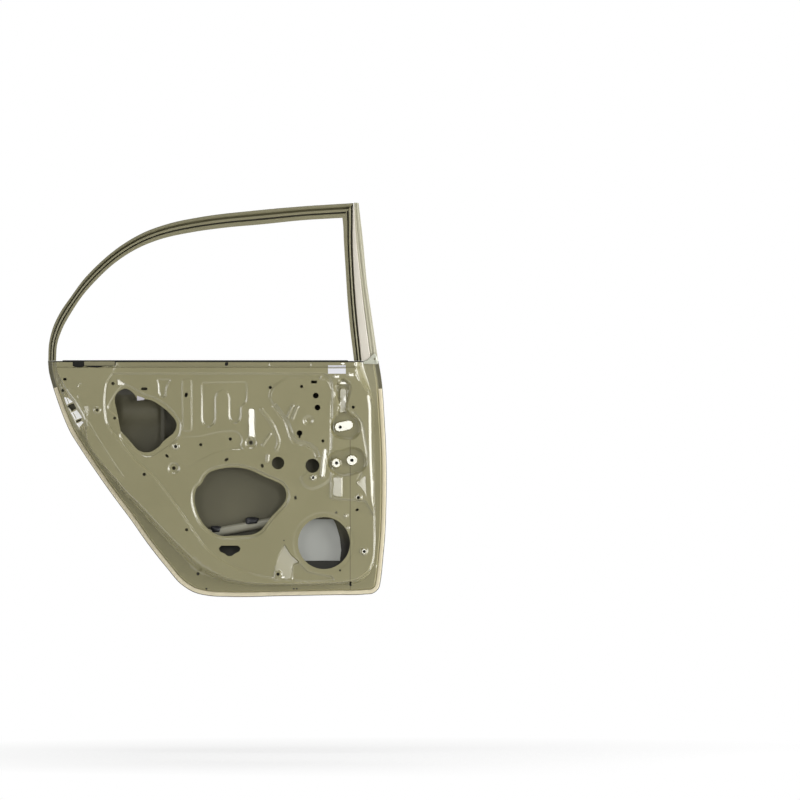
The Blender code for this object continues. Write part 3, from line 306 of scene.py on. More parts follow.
    def depth(self, points: np.ndarray, margin: float) -> np.ndarray:
        """Distance inside the loop, below zero outside it, worked out only near the loop."""
        low, high = self.points.min(0) - margin, self.points.max(0) + margin
        near = ((points > low) & (points < high)).all(axis=1)
        depths = np.full(len(points), -1.0)
        if near.any():
            distance, _ = self.nearest(points[near])
            depths[near] = np.where(self.contains(points[near]), distance, -distance)
        return depths


@dataclass
class Form:
    """One stamped form: inside its outline the sheet rises towards the cabin."""

    outline: Outline
    rise: float
    ramp: float
    on_wall: bool = False
    tilt: tuple[float, float] = (0.0, 0.0)
    rings: int = 5
    flat_side: float = 0.0011
    fewest_steps: int = 36

    def weight(self, points: np.ndarray) -> np.ndarray:
        """Share of the rise that each point has."""
        return eased(0.5 + self.outline.depth(points, self.ramp) / self.ramp)

    def lift(self, points: np.ndarray) -> np.ndarray:
        """Height that the form gives each point, with its floor's tilt."""
        middle = self.outline.points.mean(0)
        return self.weight(points) * (self.rise + (points - middle) @ np.array(self.tilt))

    def ring_points(self, step: float) -> np.ndarray:
        """Mesh points along the ramp, in rings, closer together on a small form."""
        start, end = self.outline.spans()
        around = float(np.linalg.norm(end - start, axis=1).sum())
        step = min(step, max(around / self.fewest_steps, step / 2))
        beside = 0.5 + self.flat_side / self.ramp
        shares = [-beside, *np.linspace(-0.5, 0.5, self.rings), beside]
        return np.vstack([self.outline.pushed(share * self.ramp).spaced(step).points for share in shares])


@dataclass
class SheetMesh:
    """A closed sheet piece made from points and faces."""

    name: str
    slot: str
    thickness: float
    smooth_angle: float = 40.0

    def build(
        self,
        vertices: np.ndarray,
        faces: Sequence[Sequence[int]],
        finish: Finish,
        stands_for: Sequence[str] = (),
    ) -> bpy.types.Object:
        """Make the object, give the sheet its thickness, put it in the frame and paint it.

        Args:
            vertices: points in door metres.
            faces: corner numbers, facing the visible side.
            finish: the paint.
            stands_for: the solids that the piece replaces.

        Returns:
            The finished object.
        """
        mesh = bpy.data.meshes.new(self.name)
        mesh.from_pydata((np.asarray(vertices) - DOOR.seat).tolist(), [], [tuple(face) for face in faces])
        mesh.validate()
        piece = bpy.data.objects.new(self.name, mesh)
        bpy.context.scene.collection.objects.link(piece)
        only(piece)
        drop_loose(mesh)
        if self.thickness:
            sheet = piece.modifiers.new("sheet", "SOLIDIFY")
            sheet.thickness = self.thickness
            sheet.offset = -1.0
            bpy.ops.object.modifier_apply(modifier="sheet")
        bpy.ops.object.shade_smooth_by_angle(angle=math.radians(self.smooth_angle))
        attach(piece, "root")
        if stands_for:
            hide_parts(*stands_for)
        LOG.info("%s: %d faces", self.name, len(piece.data.polygons))
        finish.dress(piece)
        return piece


def only(piece: bpy.types.Object) -> None:
    """Select one object alone and make it active."""
    bpy.ops.object.select_all(action="DESELECT")
    piece.select_set(True)
    bpy.context.view_layer.objects.active = piece


def drop_loose(mesh: bpy.types.Mesh) -> None:
    """Remove points that no face uses."""
    form = bmesh.new()
    form.from_mesh(mesh)
    bmesh.ops.delete(form, geom=[corner for corner in form.verts if not corner.link_faces], context="VERTS")
    form.to_mesh(mesh)
    form.free()


def thinned(points: np.ndarray, kept: np.ndarray, space: float) -> np.ndarray:
    """Drop points that lie too near to one another or to points already kept.

    Args:
        points: candidates, the most wanted first.
        kept: points that are there already.
        space: least distance between points.

    Returns:
        The candidates that stay.
    """
    cells: dict[tuple[int, int], list[tuple[float, float]]] = {}
    for x, z in kept:
        cells.setdefault((int(x / space), int(z / space)), []).append((x, z))
    chosen = []
    limit = space * space
    for x, z in points:
        column, row = int(x / space), int(z / space)
        near = (
            other
            for across in (-1, 0, 1)
            for up in (-1, 0, 1)
            for other in cells.get((column + across, row + up), ())
        )
        if all((x - other[0]) ** 2 + (z - other[1]) ** 2 >= limit for other in near):
            cells.setdefault((column, row), []).append((x, z))
            chosen.append((x, z))
    return np.array(chosen).reshape(-1, 2)


def lattice(rim: Outline, across: float, up: float, shift: float = 0.0) -> np.ndarray:
    """Spread even points over the box round a rim.

    Args:
        rim: the line to cover.
        across: distance between the columns.
        up: distance between the rows.
        shift: how far every other row is moved across.

    Returns:
        The points.
    """
    low, high = rim.points.min(0), rim.points.max(0)
    columns, rows = np.meshgrid(np.arange(low[0], high[0], across), np.arange(low[1], high[1], up))
    columns = columns + (np.arange(len(columns)) % 2)[:, None] * shift
    return np.column_stack((columns.ravel(), rows.ravel()))


def raised(flat: np.ndarray, level: np.ndarray) -> np.ndarray:
    """Give flat points their depth."""
    return np.column_stack((flat[:, 0], level, flat[:, 1]))


def boxed(left: int, low: int, right: int, high: int) -> Places:
    """The four corners of an upright box."""
    return left, low, right, low, right, high, left, high


def tiled(
    rim: Outline, holes: Sequence[Outline], points: np.ndarray
) -> tuple[np.ndarray, list[list[int]], list[list[int]]]:
    """Fill a rim with triangles around its holes.

    Args:
        rim: the closed outer edge.
        holes: closed inner edges.
        points: further mesh points.

    Returns:
        The flat points, the faces, and for each point the numbers of the inputs that it came from.
    """
    inputs, edges = [], []
    for loop in [rim, *holes]:
        first, count = len(inputs), len(loop.points)
        inputs += [Vector(point) for point in loop.points]
        edges += [(first + place, first + (place + 1) % count) for place in range(count)]
    inputs += [Vector(point) for point in points]
    flat, _, faces, origins, _, _ = delaunay_2d_cdt(inputs, edges, [], 0, 1e-6)
    flat = np.array([tuple(point) for point in flat])
    corners = np.array([face for face in faces if len(face) == 3])
    middles = flat[corners].mean(axis=1)
    kept = rim.contains(middles)
    for hole in holes:
        low, high = hole.points.min(0), hole.points.max(0)
        near = ((middles > low) & (middles < high)).all(axis=1)
        kept[near] &= ~hole.contains(middles[near])
    return flat, corners[kept].tolist(), origins


HEM_SHARES: Places = (
    0, 6000, 30, 5720, 120, 5410, 270, 5006, 440, 4600, 650, 4190, 945, 3780, 1420, 3170, 1920, 2560,
    2450, 1950, 2950, 1340, 3515, 726, 3930, 320, 4310, 115, 4750, 25, 5300, 0, 7000, 20, 8500, 45, 9350, 60,
    9610, 90, 9760, 200, 9825, 400, 9855, 600, 9900, 1000, 9955, 1540, 9985, 2150, 10000, 3000, 9985, 3780,
    9955, 4300, 9926, 4700, 9897, 5100, 9860, 5450, 9810, 5750, 9755, 6000,
)


@dataclass
class Edge:
    """The skin's edge below the belt and the lines that follow it inside."""

    step: float = 0.006
    flange: float = 0.013
    step_run: float = 0.004
    step_rise: float = 0.006
    hem_edge: float = 0.0022
    belt_drop: float = 0.0035
    line: Outline = field(init=False)

    def __post_init__(self) -> None:
        """Draw the edge once."""
        self.line = Outline.of(HEM_SHARES, closed=False).smoothed(self.step)

    def inside(self, distance: float) -> Outline:
        """Line at a distance inside the edge, ending at the belt."""
        line = self.line.pushed(-distance)
        line.points[[0, -1], 1] = DOOR.belt
        return line


# Rim of the main plane by threes: the last number is the wall's share of the way out to the flange
MAIN_SHARES: Places = (
    260, 6000, 6000, 290, 5750, 6000, 390, 5560, 7000, 570, 5300, 8000, 780, 5060, 8600, 950, 4840, 8800,
    1130, 4560, 8600, 1170, 4300, 7000, 1180, 4020, 5000, 1320, 3750, 5000, 1670, 3360, 5000,
    2020, 3020, 5000, 2380, 2660, 4800, 2700, 2400, 4500, 3100, 2030, 4200, 3550, 1630, 3800,
    4000, 1250, 3600, 4500, 860, 3600, 5000, 610, 3600, 5500, 450, 4000, 6000, 380, 4200, 7000, 350, 4500,
    8000, 360, 4500, 8700, 400, 4500, 9150, 490, 4500, 9430, 670, 4500, 9560, 920, 5000, 9615, 1300, 4000,
    9615, 1800, 3000, 9612, 2220, 2400, 9610, 3000, 1600, 9610, 4200, 1600, 9608, 4840, 2400,
    9520, 5080, 4000, 9350, 5280, 5000, 9200, 5530, 5000, 9100, 5800, 4500, 9080, 6000, 4500,
)
REAR_OPENING_SHARES: Places = (
    1990, 5080, 2050, 5180, 2150, 5255, 2320, 5295, 2450, 5240, 2580, 5130, 2640, 5040, 2720, 5000,
    2860, 5025, 3030, 5005, 3350, 4850, 3500, 4750, 3650, 4620, 3770, 4490, 3810, 4380, 3790, 4280,
    3720, 4170, 3550, 4050, 3400, 3940, 3300, 3830, 3200, 3760, 3060, 3695, 2930, 3675, 2800, 3685,
    2680, 3730, 2580, 3810, 2500, 3890, 2350, 4040, 2220, 4160, 2165, 4215, 2135, 4320, 2085, 4550,
    2025, 4800, 1985, 4970,
)
# Line of the low rim round the rear opening, wider at the left
REAR_RIM_SHARES: Places = (
    1784, 4802, 1863, 4984, 1969, 5143, 2110, 5300, 2300, 5395, 2550, 5300, 2893, 5142, 3077, 5098,
    3420, 4938, 3710, 4711, 3921, 4392, 3868, 4096, 3420, 3755, 2945, 3562, 2549, 3732, 2153, 4062,
    2130, 4120, 2220, 4230, 2190, 4350, 2120, 4520, 1920, 4680,
)
CENTRE_OPENING_SHARES: Places = (
    4385, 2740, 4430, 2800, 4520, 2860, 4570, 2925, 4615, 3015, 4690, 3100, 4800, 3175, 4930, 3220,
    5100, 3255, 5300, 3285, 5600, 3290, 5850, 3255, 6050, 3200, 6250, 3120, 6500, 3020, 6750, 2930,
    6900, 2860, 7000, 2760, 7045, 2620, 7030, 2480, 6960, 2370, 6800, 2210, 6600, 2030, 6470, 1880,
    6400, 1800, 6330, 1725, 6240, 1660, 6120, 1610, 6000, 1580, 5800, 1565, 5500, 1555, 5200, 1550,
    5050, 1570, 4900, 1630, 4750, 1720, 4630, 1820, 4540, 1930, 4460, 2060, 4395, 2210, 4350, 2370,
    4335, 2500, 4345, 2630,
)
DRAIN_SHARES: Places = (
    5120, 1305, 5620, 1305, 5700, 1240, 5660, 1155, 5520, 1100, 5445, 1045, 5370, 1035, 5300, 1045,
    5230, 1100, 5090, 1150, 5050, 1230,
)
LATCH_OPENING_SHARES: Places = (560, 4860, 760, 4930, 850, 4790, 700, 4720)
LATCH_SLOT_SHARES: Places = (820, 4425, 985, 4485, 995, 4535, 825, 4475)
BELT_NOTCH_SHARES: Places = (
    740, 5870, 840, 5845, 970, 5835, 1080, 5865, 1220, 5850, 1360, 5835, 1500, 5830, 1580, 5855, 1720, 5870,
    1860, 5860, 2000, 5885, 2030, 6060, 740, 6060,
)
BELT_SLOT_SHARES: Places = (5225, 5880, 5320, 5880, 5335, 5965, 5240, 5965)
WINDOW_SLOT_SHARES: Places = (7780, 5428, 7950, 5428, 7950, 5502, 7780, 5502)
# Openings with corners: their places, the reach of a corner's curve and its steps
CORNERED_OPENINGS = (
    (DRAIN_SHARES, 0.003, 3), (LATCH_OPENING_SHARES, 0.003, 3), (LATCH_SLOT_SHARES, 0.0015, 2),
    (BELT_NOTCH_SHARES, 0.002, 2), (BELT_SLOT_SHARES, 0.002, 2), (WINDOW_SLOT_SHARES, 0.002, 2),
)
# Round holes by threes: place across, place up, radius in tenths of a millimetre
HOLE_SHARES: Places = (
    435, 5250, 45, 1930, 5425, 46, 1980, 4545, 42, 1465, 4750, 40, 2855, 3115, 50, 3725, 3275, 52,
    3780, 3825, 48, 4520, 3870, 45, 5390, 4015, 48, 6000, 3920, 54, 8125, 3965, 44, 6570, 5325, 48,
    7495, 5350, 45, 9020, 4825, 44, 8635, 4315, 46, 8530, 3405, 48, 8980, 3475, 48, 7835, 3035, 42,
    9170, 2525, 46, 8515, 2145, 32, 9345, 1155, 46, 6800, 580, 44, 4430, 580, 46, 4680, 200, 32,
    4105, 1708, 45, 8630, 675, 30, 7260, 200, 26, 7350, 200, 26, 6800, 3405, 178, 7815, 3335, 200,
    7915, 5120, 82, 7965, 4815, 82, 8155, 1370, 740, 7435, 4165, 80, 6975, 1435, 22,
)
# Slots by fives: both ends across and up, width in tenths of a millimetre
SLOT_SHARES: Places = (
    500, 5535, 525, 5535, 80, 2800, 5290, 2910, 5290, 80, 3510, 3598, 3540, 3570, 70,
    7435, 4060, 7435, 4160, 55, 4085, 5115, 4100, 5160, 85, 5260, 3478, 5300, 3502, 80,
    6330, 3350, 6340, 3320, 80, 7315, 2500, 7315, 2540, 70, 9120, 2210, 9150, 2220, 70,
    8940, 290, 8940, 365, 60,
)


@dataclass
class InnerPanel:
    """The stamped inner panel, laid out like its solid but with softer and finer forms."""

    edge: Edge
    grid: float = 0.0066
    row_share: float = 0.87
    grid_space: float = 0.55
    line_step: float = 0.004
    ring_step: float = 0.0042
    hole_step: float = 0.0022
    hole_margin: float = 0.0016
    hole_ring_step: float = 0.003
    space: float = 0.0009
    rim_width: float = 0.008
    rim_drop: float = 0.004
    rear_rim_drop: float = 0.0025
    rim_ramp: float = 0.005
    main_step: float = 0.008
    bound_margin: float = 0.004
    lid: float = 0.004
    wall_gain: float = 3.0
    softness: float = 0.75
    wall_lines: tuple[float, ...] = (0.05, 0.16, 0.32, 0.5, 0.68, 0.84, 0.95)
    bolt_shares: tuple[float, float] = (0.444, 0.290)
    bolt_half_pitch: float = 0.022
    bolt_radius: float = 0.0045
    strap_slot: tuple[float, float, float] = (0.370, 0.006, 0.013)
    tool_sides: int = 24
    tool_depth: float = 0.03
    main: Outline = field(init=False)
    foot: Outline = field(init=False)
    forms: list[Form] = field(init=False)
    holes: list[Outline] = field(init=False)

    def __post_init__(self) -> None:
        """Lay out the rim lines, the holes and the forms."""
        rows = np.array(MAIN_SHARES).reshape(-1, 3)
        knots = DOOR.placed(rows[:, :2])
        self.main = Outline(knots).smoothed(self.main_step)
        along = self.main.along()
        at = [along[np.argmin(np.linalg.norm(self.main.points - knot, axis=1))] for knot in knots]
        shares = np.interp(along, at, rows[:, 2] / PLACES_UNIT)
        _, rim = self.edge.inside(self.edge.flange + self.edge.step_run).nearest(self.main.points)
        self.foot = self.wall_line(shares[:, None], self.main.points, rim)
        self.foot.points[[0, -1], 1] = DOOR.belt
        self.holes = self.cut_outs()
        self.forms = self.stampings()

    @staticmethod
    def wall_line(share: np.ndarray | float, start: np.ndarray, end: np.ndarray) -> Outline:
        """Line part of the way between two others."""
        return Outline(start + share * (end - start))

    def closed(self, line: Outline) -> Outline:
        """Close a rim line over the belt."""
        over = np.array((0.0, self.lid))
        return Outline(np.vstack((line.points, line.points[-1:] + over, line.points[:1] + over)), True)

    def cut_outs(self) -> list[Outline]:
        """Outlines of every opening."""
        holes = [Outline.of(places).smoothed(self.line_step)
                 for places in (REAR_OPENING_SHARES, CENTRE_OPENING_SHARES)]
        holes += [Outline.of(places).filleted(reach, steps) for places, reach, steps in CORNERED_OPENINGS]
        for across, up, radius in np.array(HOLE_SHARES).reshape(-1, 3):
            holes.append(Outline.disc(DOOR.placed((across, up))[0], radius / TENTHS / MILLI, self.hole_step))
        for *ends, width in np.array(SLOT_SHARES).reshape(-1, 5):
            holes.append(Outline.pill(*DOOR.placed(ends), width / TENTHS / MILLI, self.hole_step))
        return holes

    def stampings(self) -> list[Form]:
        """Every stamped form, from the broad ones to the small ones."""
        centre = self.holes[1].pushed(self.rim_width)
        rims = [
            Form(Outline.of(REAR_RIM_SHARES).smoothed(BAND_STEP), -self.rear_rim_drop, self.rim_ramp),
            Form(centre.spaced(BAND_STEP), -self.rim_drop, self.rim_ramp),
        ]
        return rims + [stamp.form() for stamp in STAMPS]

    def wall_share(self, points: np.ndarray) -> np.ndarray:
        """Share of the wall's height at each point: 0 on the ledge, 1 on the main plane."""
        to_main, _ = self.main.nearest(points)
        to_foot, _ = self.foot.nearest(points)
        share = to_foot / np.maximum(to_main + to_foot, 1e-7)
        share[~self.closed(self.foot).contains(points)] = 0
        share[self.closed(self.main).contains(points)] = 1
        return share

    def level(self, points: np.ndarray) -> np.ndarray:
        """World y of the cabin side at each point, before the door is placed."""
        from_edge, _ = self.edge.line.nearest(points)
        step = eased((from_edge - self.edge.flange) / self.edge.step_run)
        linear = self.wall_share(points)
        share = (1 - self.softness) * linear + self.softness * eased(linear)
        flange = DOOR.skin_y(points[:, 1]) - DOOR.skin_sheet - DOOR.seat_gap - DOOR.inner_sheet
        ledge = flange - self.edge.step_rise * step
        level = (1 - share) * ledge - share * DOOR.inner_depth
        for form in self.forms:
            level -= form.lift(points) * (np.clip(self.wall_gain * share, 0, 1) if form.on_wall else share)
        return level

    def mesh_points(self, rim: Outline) -> np.ndarray:
        """Points for the mesh between the rim and the holes."""
        held = np.vstack([rim.points] + [hole.points for hole in self.holes])
        bound = self.closed(self.main.pushed(self.bound_margin))
        lines = [self.edge.inside(self.edge.flange + share * self.edge.step_run) for share in (0, 0.5, 1)]
        lines += [self.foot, self.main]
        lines += [self.wall_line(share, self.foot.points, self.main.points) for share in self.wall_lines]
        rings = []
        for form in self.forms:
            ring = form.ring_points(self.ring_step)
            rings.append(ring if form.on_wall else ring[bound.contains(ring)])
        hole_rings = [hole.pushed(self.hole_margin).spaced(self.hole_ring_step).points for hole in self.holes]
        wanted = hole_rings + [line.spaced(self.line_step).points for line in lines] + rings
        fine = thinned(np.vstack(wanted), held, self.space)
        even = lattice(rim, self.grid, self.grid * self.row_share, self.grid / 2)
        points = np.vstack((fine, thinned(even, np.vstack((held, fine)), self.grid * self.grid_space)))
        return points[rim.contains(points)]

    def build(self, finish: Finish) -> bpy.types.Object:
        """Make the panel, cut its wall and paint it."""
        rim = self.edge.inside(self.edge.hem_edge)
        rim.points[[0, -1], 1] -= self.edge.belt_drop
        top = Outline(rim.points[[-1, 0]]).spaced(self.edge.step).points[1:-1]
        rim = Outline(np.vstack((rim.points, top)), True)
        flat, faces, _ = tiled(rim, self.holes, self.mesh_points(rim))
        sheet = SheetMesh("inner_panel_stamped", "primer_paint", DOOR.inner_sheet)
        piece = sheet.build(raised(flat, self.level(flat)), faces, finish, ["inner_panel"])
        self.drill(piece)
        return piece

    def drill(self, piece: bpy.types.Object) -> None:
        """Cut the hinge bolt holes and the check strap slot through the front wall."""
        for share in self.bolt_shares:
            for half in (-self.bolt_half_pitch, self.bolt_half_pitch):
                self.punch(piece, share * DOOR.height + half, self.bolt_radius, self.bolt_radius)
        share, half_width, half_height = self.strap_slot
        self.punch(piece, share * DOOR.height, half_width, half_height)

    def punch(self, piece: bpy.types.Object, height: float, half_width: float, half_height: float) -> None:
        """Cut one round or long hole along X through the wall."""
        centre = np.array((DOOR.seat[0], -DOOR.seat_depth, height)) - DOOR.seat
        bpy.ops.object.select_all(action="DESELECT")
        bpy.ops.mesh.primitive_cylinder_add(
            vertices=self.tool_sides,
            radius=half_width,
            depth=self.tool_depth,
            location=centre,
            rotation=(0, math.pi / 2, 0),
        )
        tool = bpy.context.object
        bpy.ops.object.mode_set(mode="EDIT")
        bpy.ops.transform.resize(value=(1, 1, half_height / half_width), orient_type="GLOBAL")
        bpy.ops.object.mode_set(mode="OBJECT")
        only(piece)
        cut = piece.modifiers.new("punch", "BOOLEAN")
        cut.operation = "DIFFERENCE"
        cut.solver = "FAST"
        cut.object = tool
        bpy.ops.object.modifier_apply(modifier="punch")
        bpy.data.objects.remove(tool)


class Facing(Enum):
    """Which way the floor of a stamp leans, as its slope across and up."""

    LEVEL = (0.0, 0.0)
    RIGHT = (-0.170, -0.046)
    MOSTLY_RIGHT = (-0.117, -0.034)
    PART_RIGHT = (-0.100, -0.030)
    SLIGHTLY_RIGHT = (-0.013, 0.0)
    LEFT = (0.170, -0.046)
    PART_LEFT = (0.05, 0.0)
    DOWN = (0.0, 0.03)
    PART_DOWN = (0.0, 0.026)


@dataclass(frozen=True)
class Stamp:
    """A listed form: its rise, ramp and width are in millimetres, its corners' reach in metres."""

    rise: float
    ramp: float
    places: Places
    facing: Facing = Facing.LEVEL
    width: float = 0.0
    smooth: bool = True
    on_wall: bool = False
    corner: float = 0.006

    def form(self) -> Form:
        """Turn the entry into a form in metres."""
        if self.width and len(self.places) > 4:
            line = Outline.of(self.places, closed=False).smoothed(BAND_STEP)
            left, right = (line.pushed(side * self.width / MILLI / 2).points for side in (1, -1))
            loop = Outline(np.vstack((left, right[::-1])), True)
        elif self.width:
            loop = Outline.pill(*DOOR.placed(self.places), self.width / MILLI, END_STEP)
        elif self.smooth:
            loop = Outline.of(self.places).smoothed(CURVE_STEP)
        else:
            loop = Outline.of(self.places).filleted(self.corner)
        rings = min(5, 1 + int(self.ramp))
        return Form(loop, self.rise / MILLI, self.ramp / MILLI, self.on_wall, self.facing.value, rings)


# Small bright boxes on the belt strip: left, low, right, high
TICK_SHARES = (
    (2060, 5865, 2105, 5955), (6530, 5865, 6570, 5955), (7750, 5865, 7790, 5955), (8650, 5905, 8780, 5965),
)

STAMPS: tuple[Stamp, ...] = (
    # Raised band round the rear opening, down to the long bright line
    Stamp(5, 5, (-200, 6000, 2050, 6000, 1950, 5750, 1811, 5560, 1731, 5414, 1700, 5262, 1675, 5029,
          1680, 4800, 1710, 4574, 1765, 4392, 1876, 4240, 2150, 3930, 2620, 3450, 3050, 3140, 3450, 2720,
          4000, 2080, 4400, 1570, 4650, 1270, 4980, 1020, 5400, 800, 6000, 600, 6800, 460, 7600, 360,
          8000, 200, 3500, 200, 1500, 2500, 200, 4500)),
    # Raised field in front of the middle, with its lobe round the large hole
    Stamp(3, 9, (6640, 4920, 6880, 4640, 7101, 4402, 7219, 4053, 7360, 3903, 7633, 3882, 7869, 3728,
          7920, 3500, 7650, 3170, 7480, 3010, 7570, 2840, 7760, 2755, 8060, 2825, 8340, 3010, 8360, 3400,
          8370, 4000, 8385, 4750, 8380, 5350, 8290, 5510, 7800, 5560, 7000, 5530, 6680, 5350, 6560, 5100)),
    # Channel that runs down to the large hole
    Stamp(-3, 4, (6685, 4879, 6883, 4660, 7066, 4446, 7133, 4280, 7203, 4100, 7345, 3940, 7561, 3900,
          7787, 3825, 7928, 3686, 7971, 3564), width=12),
    # Hinge pillar and belt strip, with the corner between them
    Stamp(4.5, 5, (2050, 7000, 2050, 6000, 1950, 5750, 1900, 5680, 8120, 5680, 8300, 5630, 8400, 5480,
          8405, 4750, 8380, 4000, 8350, 2500, 9000, 2470, 9380, 2450, 9460, 2320, 9660, 2000, 10500, 1900,
          10500, 7000), smooth=False),
    # Lower strip between the pillar and its wall
    Stamp(-6, 7, (9460, 5150, 9510, 4800, 9520, 4000, 9530, 3600, 9540, 3350, 9560, 3000, 9580, 2620,
          9600, 2430, 9650, 2250, 9900, 2250, 9900, 5150), smooth=False),
    Stamp(-12, 4, (0, 5840, 10000, 5840, 10000, 6500, 0, 6500), smooth=False),
    # Hinge pockets with their pads
    Stamp(-14, 8, (8570, 5450, 8570, 4680, 8450, 4550, 8380, 4300, 8470, 4110, 8700, 4040, 9050, 4050,
          9200, 4200, 9190, 4440, 9050, 4570, 8890, 4660, 8870, 5450, 8720, 5530)),
    Stamp(-14, 8, (8290, 3520, 8380, 3640, 8700, 3730, 9030, 3790, 9260, 3700, 9380, 3480, 9350, 3280,
          9050, 3140, 8500, 3130, 8320, 3270)),
    Stamp(9, 3.5, (8610, 4320, 8880, 4370), Facing.MOSTLY_RIGHT, 28),
    Stamp(9, 3.5, (8520, 3405, 8535, 3405), Facing.MOSTLY_RIGHT, 29),
    Stamp(9, 3.5, (8970, 3475, 8990, 3475), Facing.MOSTLY_RIGHT, 30),
    Stamp(5, 5, (8620, 5440, 8840, 5440), Facing.RIGHT, 12),
    Stamp(4, 3, (8625, 5300, 8825, 5300, 8825, 4720, 8600, 4660), Facing.PART_RIGHT, smooth=False),
    Stamp(-1.6, 3.5, (9010, 4700, 9220, 4500, 9360, 4000, 9430, 3600, 9400, 3380, 9300, 3220, 9160, 3000),
          width=5),
    # Long low band over the centre opening
    Stamp(-1.2, 5, (3830, 3985, 4500, 4090, 5300, 4215, 5560, 4205, 5700, 4100, 5745, 3980, 5700, 3860,
          5750, 3780, 5441, 3745, 4876, 3640, 4450, 3450, 4100, 3300, 3950, 3500), Facing.SLIGHTLY_RIGHT),
    # Recess beside the loudspeaker
    Stamp(-3, 3.5, (6985, 1344, 6815, 1052, 6716, 759, 6674, 418, 7211, 460, 7239, 808, 7437, 881,
          7183, 1076), Facing.MOSTLY_RIGHT, smooth=False),
    Stamp(-4, 5, (7245, 820, 7440, 850, 7650, 650, 8000, 570, 8380, 530, 8460, 425, 7800, 405, 7215, 420),
          smooth=False),
    # Bright facet at the foot of the hinge pillar
    Stamp(0.3, 1.5, (9380, 3100, 9430, 2441, 9331, 2684, 9189, 2831, 9090, 2916, 9246, 3001),
          Facing.PART_RIGHT, smooth=False),
    # Ticks on the belt strip and creases in the lower front corner
    *(Stamp(0.2, 1.2, boxed(*box), Facing.RIGHT, smooth=False) for box in TICK_SHARES),
    Stamp(2.5, 3, (9600, 860, 9640, 760), Facing.RIGHT, 5, on_wall=True),
    Stamp(2.5, 3, (9540, 520, 9600, 420), Facing.LEFT, 5, on_wall=True),
    Stamp(2, 3, (9420, 350, 9480, 280), Facing.RIGHT, 5, on_wall=True),
    # Step at the foot of the hinge pillar
    Stamp(3, 4, (8430, 2560, 8430, 3030, 8500, 3060, 8680, 3060, 8690, 2520), Facing.LEFT, smooth=False),
    # Ribs and fingers under the belt
    Stamp(-3, 4.5, (3220, 5530, 3275, 5430, 3285, 5200, 3330, 5090, 3405, 5060, 3475, 5110, 3490, 5300,
          3560, 5430, 3640, 5530), Facing.DOWN, smooth=False),
    Stamp(1.3, 3.6, (3990, 4220, 4255, 4220, 4245, 5520, 3970, 5520), smooth=False),
    Stamp(-3, 5.5, (4560, 5450, 4560, 4500, 4620, 4370, 4750, 4315, 4880, 4370, 4945, 4500, 4945, 5060,
          5000, 5200, 5160, 5270, 5310, 5200, 5365, 5060, 5365, 4580, 5425, 4460, 5540, 4410, 5650, 4460,
          5700, 4580, 5700, 4800, 5760, 4890, 5840, 4920, 5880, 5050, 5860, 5470),
          Facing.PART_DOWN, smooth=False),
    Stamp(0.5, 2, (5925, 4790, 6105, 4790, 6125, 4030, 5945, 4010), Facing.RIGHT, smooth=False),
    Stamp(-3, 5, (6000, 3915, 6005, 3920), width=30),
    Stamp(1.6, 4, (6290, 4780, 6460, 4600, 6620, 4410, 6740, 4180, 6810, 4000, 6800, 3850, 6740, 3720),
          width=8),
    Stamp(2.5, 3.5, (6350, 3860, 6570, 4140), width=6),
    Stamp(3.5, 3.5, (7236, 4858, 7095, 4573), width=5.5),
    Stamp(3.5, 3.5, (7380, 4830, 7236, 4533), width=5),
    Stamp(-2.2, 13, (7700, 4490, 7720, 4490), Facing.PART_LEFT, 22),
    Stamp(2, 4, (8195, 3730, 8110, 3080), Facing.RIGHT, 11),
    Stamp(3, 3.5, (6500, 3600, 6480, 3460), width=7),
    Stamp(3, 3.5, (7835, 3035, 7840, 3035), Facing.RIGHT, 17),
    # Loudspeaker seat
    Stamp(-0.5, 7, (8155, 1370, 8156, 1370), width=174),
    # Small pads, rings and dimples round the fixing holes
    Stamp(-3.5, 5, (3725, 3275, 3728, 3275), width=30),
    Stamp(2, 3.5, (3760, 3825, 3800, 3825), Facing.LEFT, 17),
    Stamp(2.5, 4, (1465, 4750, 1468, 4750), width=19),
    Stamp(0.3, 1.5, (1075, 4870, 1225, 4860, 1225, 4700, 1195, 4600, 1145, 4640), Facing.RIGHT, smooth=False),
    Stamp(0.3, 1.5, (895, 5350, 960, 5430), Facing.RIGHT, 4),
    Stamp(0.3, 1.5, (915, 5060, 915, 5120), Facing.RIGHT, 4),
    Stamp(0.3, 1.5, (2070, 5560, 2325, 5400, 2060, 5375), Facing.RIGHT, smooth=False),
    # Crease that runs along the latch, and on from it
    Stamp(1, 3, (201, 5643, 439, 5370, 544, 5257, 835, 5006, 1177, 4551), width=4, on_wall=True),
    Stamp(0.5, 3, (1190, 4480, 1500, 4030, 1930, 3450, 2250, 3050), width=3),
    Stamp(3, 4, (9170, 2525, 9173, 2525), Facing.LEFT, 20),
    Stamp(3, 4, (9345, 1155, 9348, 1155), Facing.RIGHT, 20),
    Stamp(3, 4, (6800, 580, 6803, 580), Facing.LEFT, 20),
    Stamp(1.5, 3, (8080, 5575, 8120, 5560), Facing.RIGHT, 9),
    Stamp(1.5, 3.5, (8480, 5600, 8560, 5600), Facing.RIGHT, 10),
    Stamp(1.5, 3.5, (8900, 5650, 8980, 5640), Facing.RIGHT, 11),
    Stamp(2, 3.5, (8810, 2060, 8815, 2060), Facing.RIGHT, 11),
    Stamp(2, 3.5, (8850, 1750, 8855, 1750), Facing.LEFT, 11),
    Stamp(2.5, 3.5, (9180, 240, 9180, 330), Facing.RIGHT, 8),
)


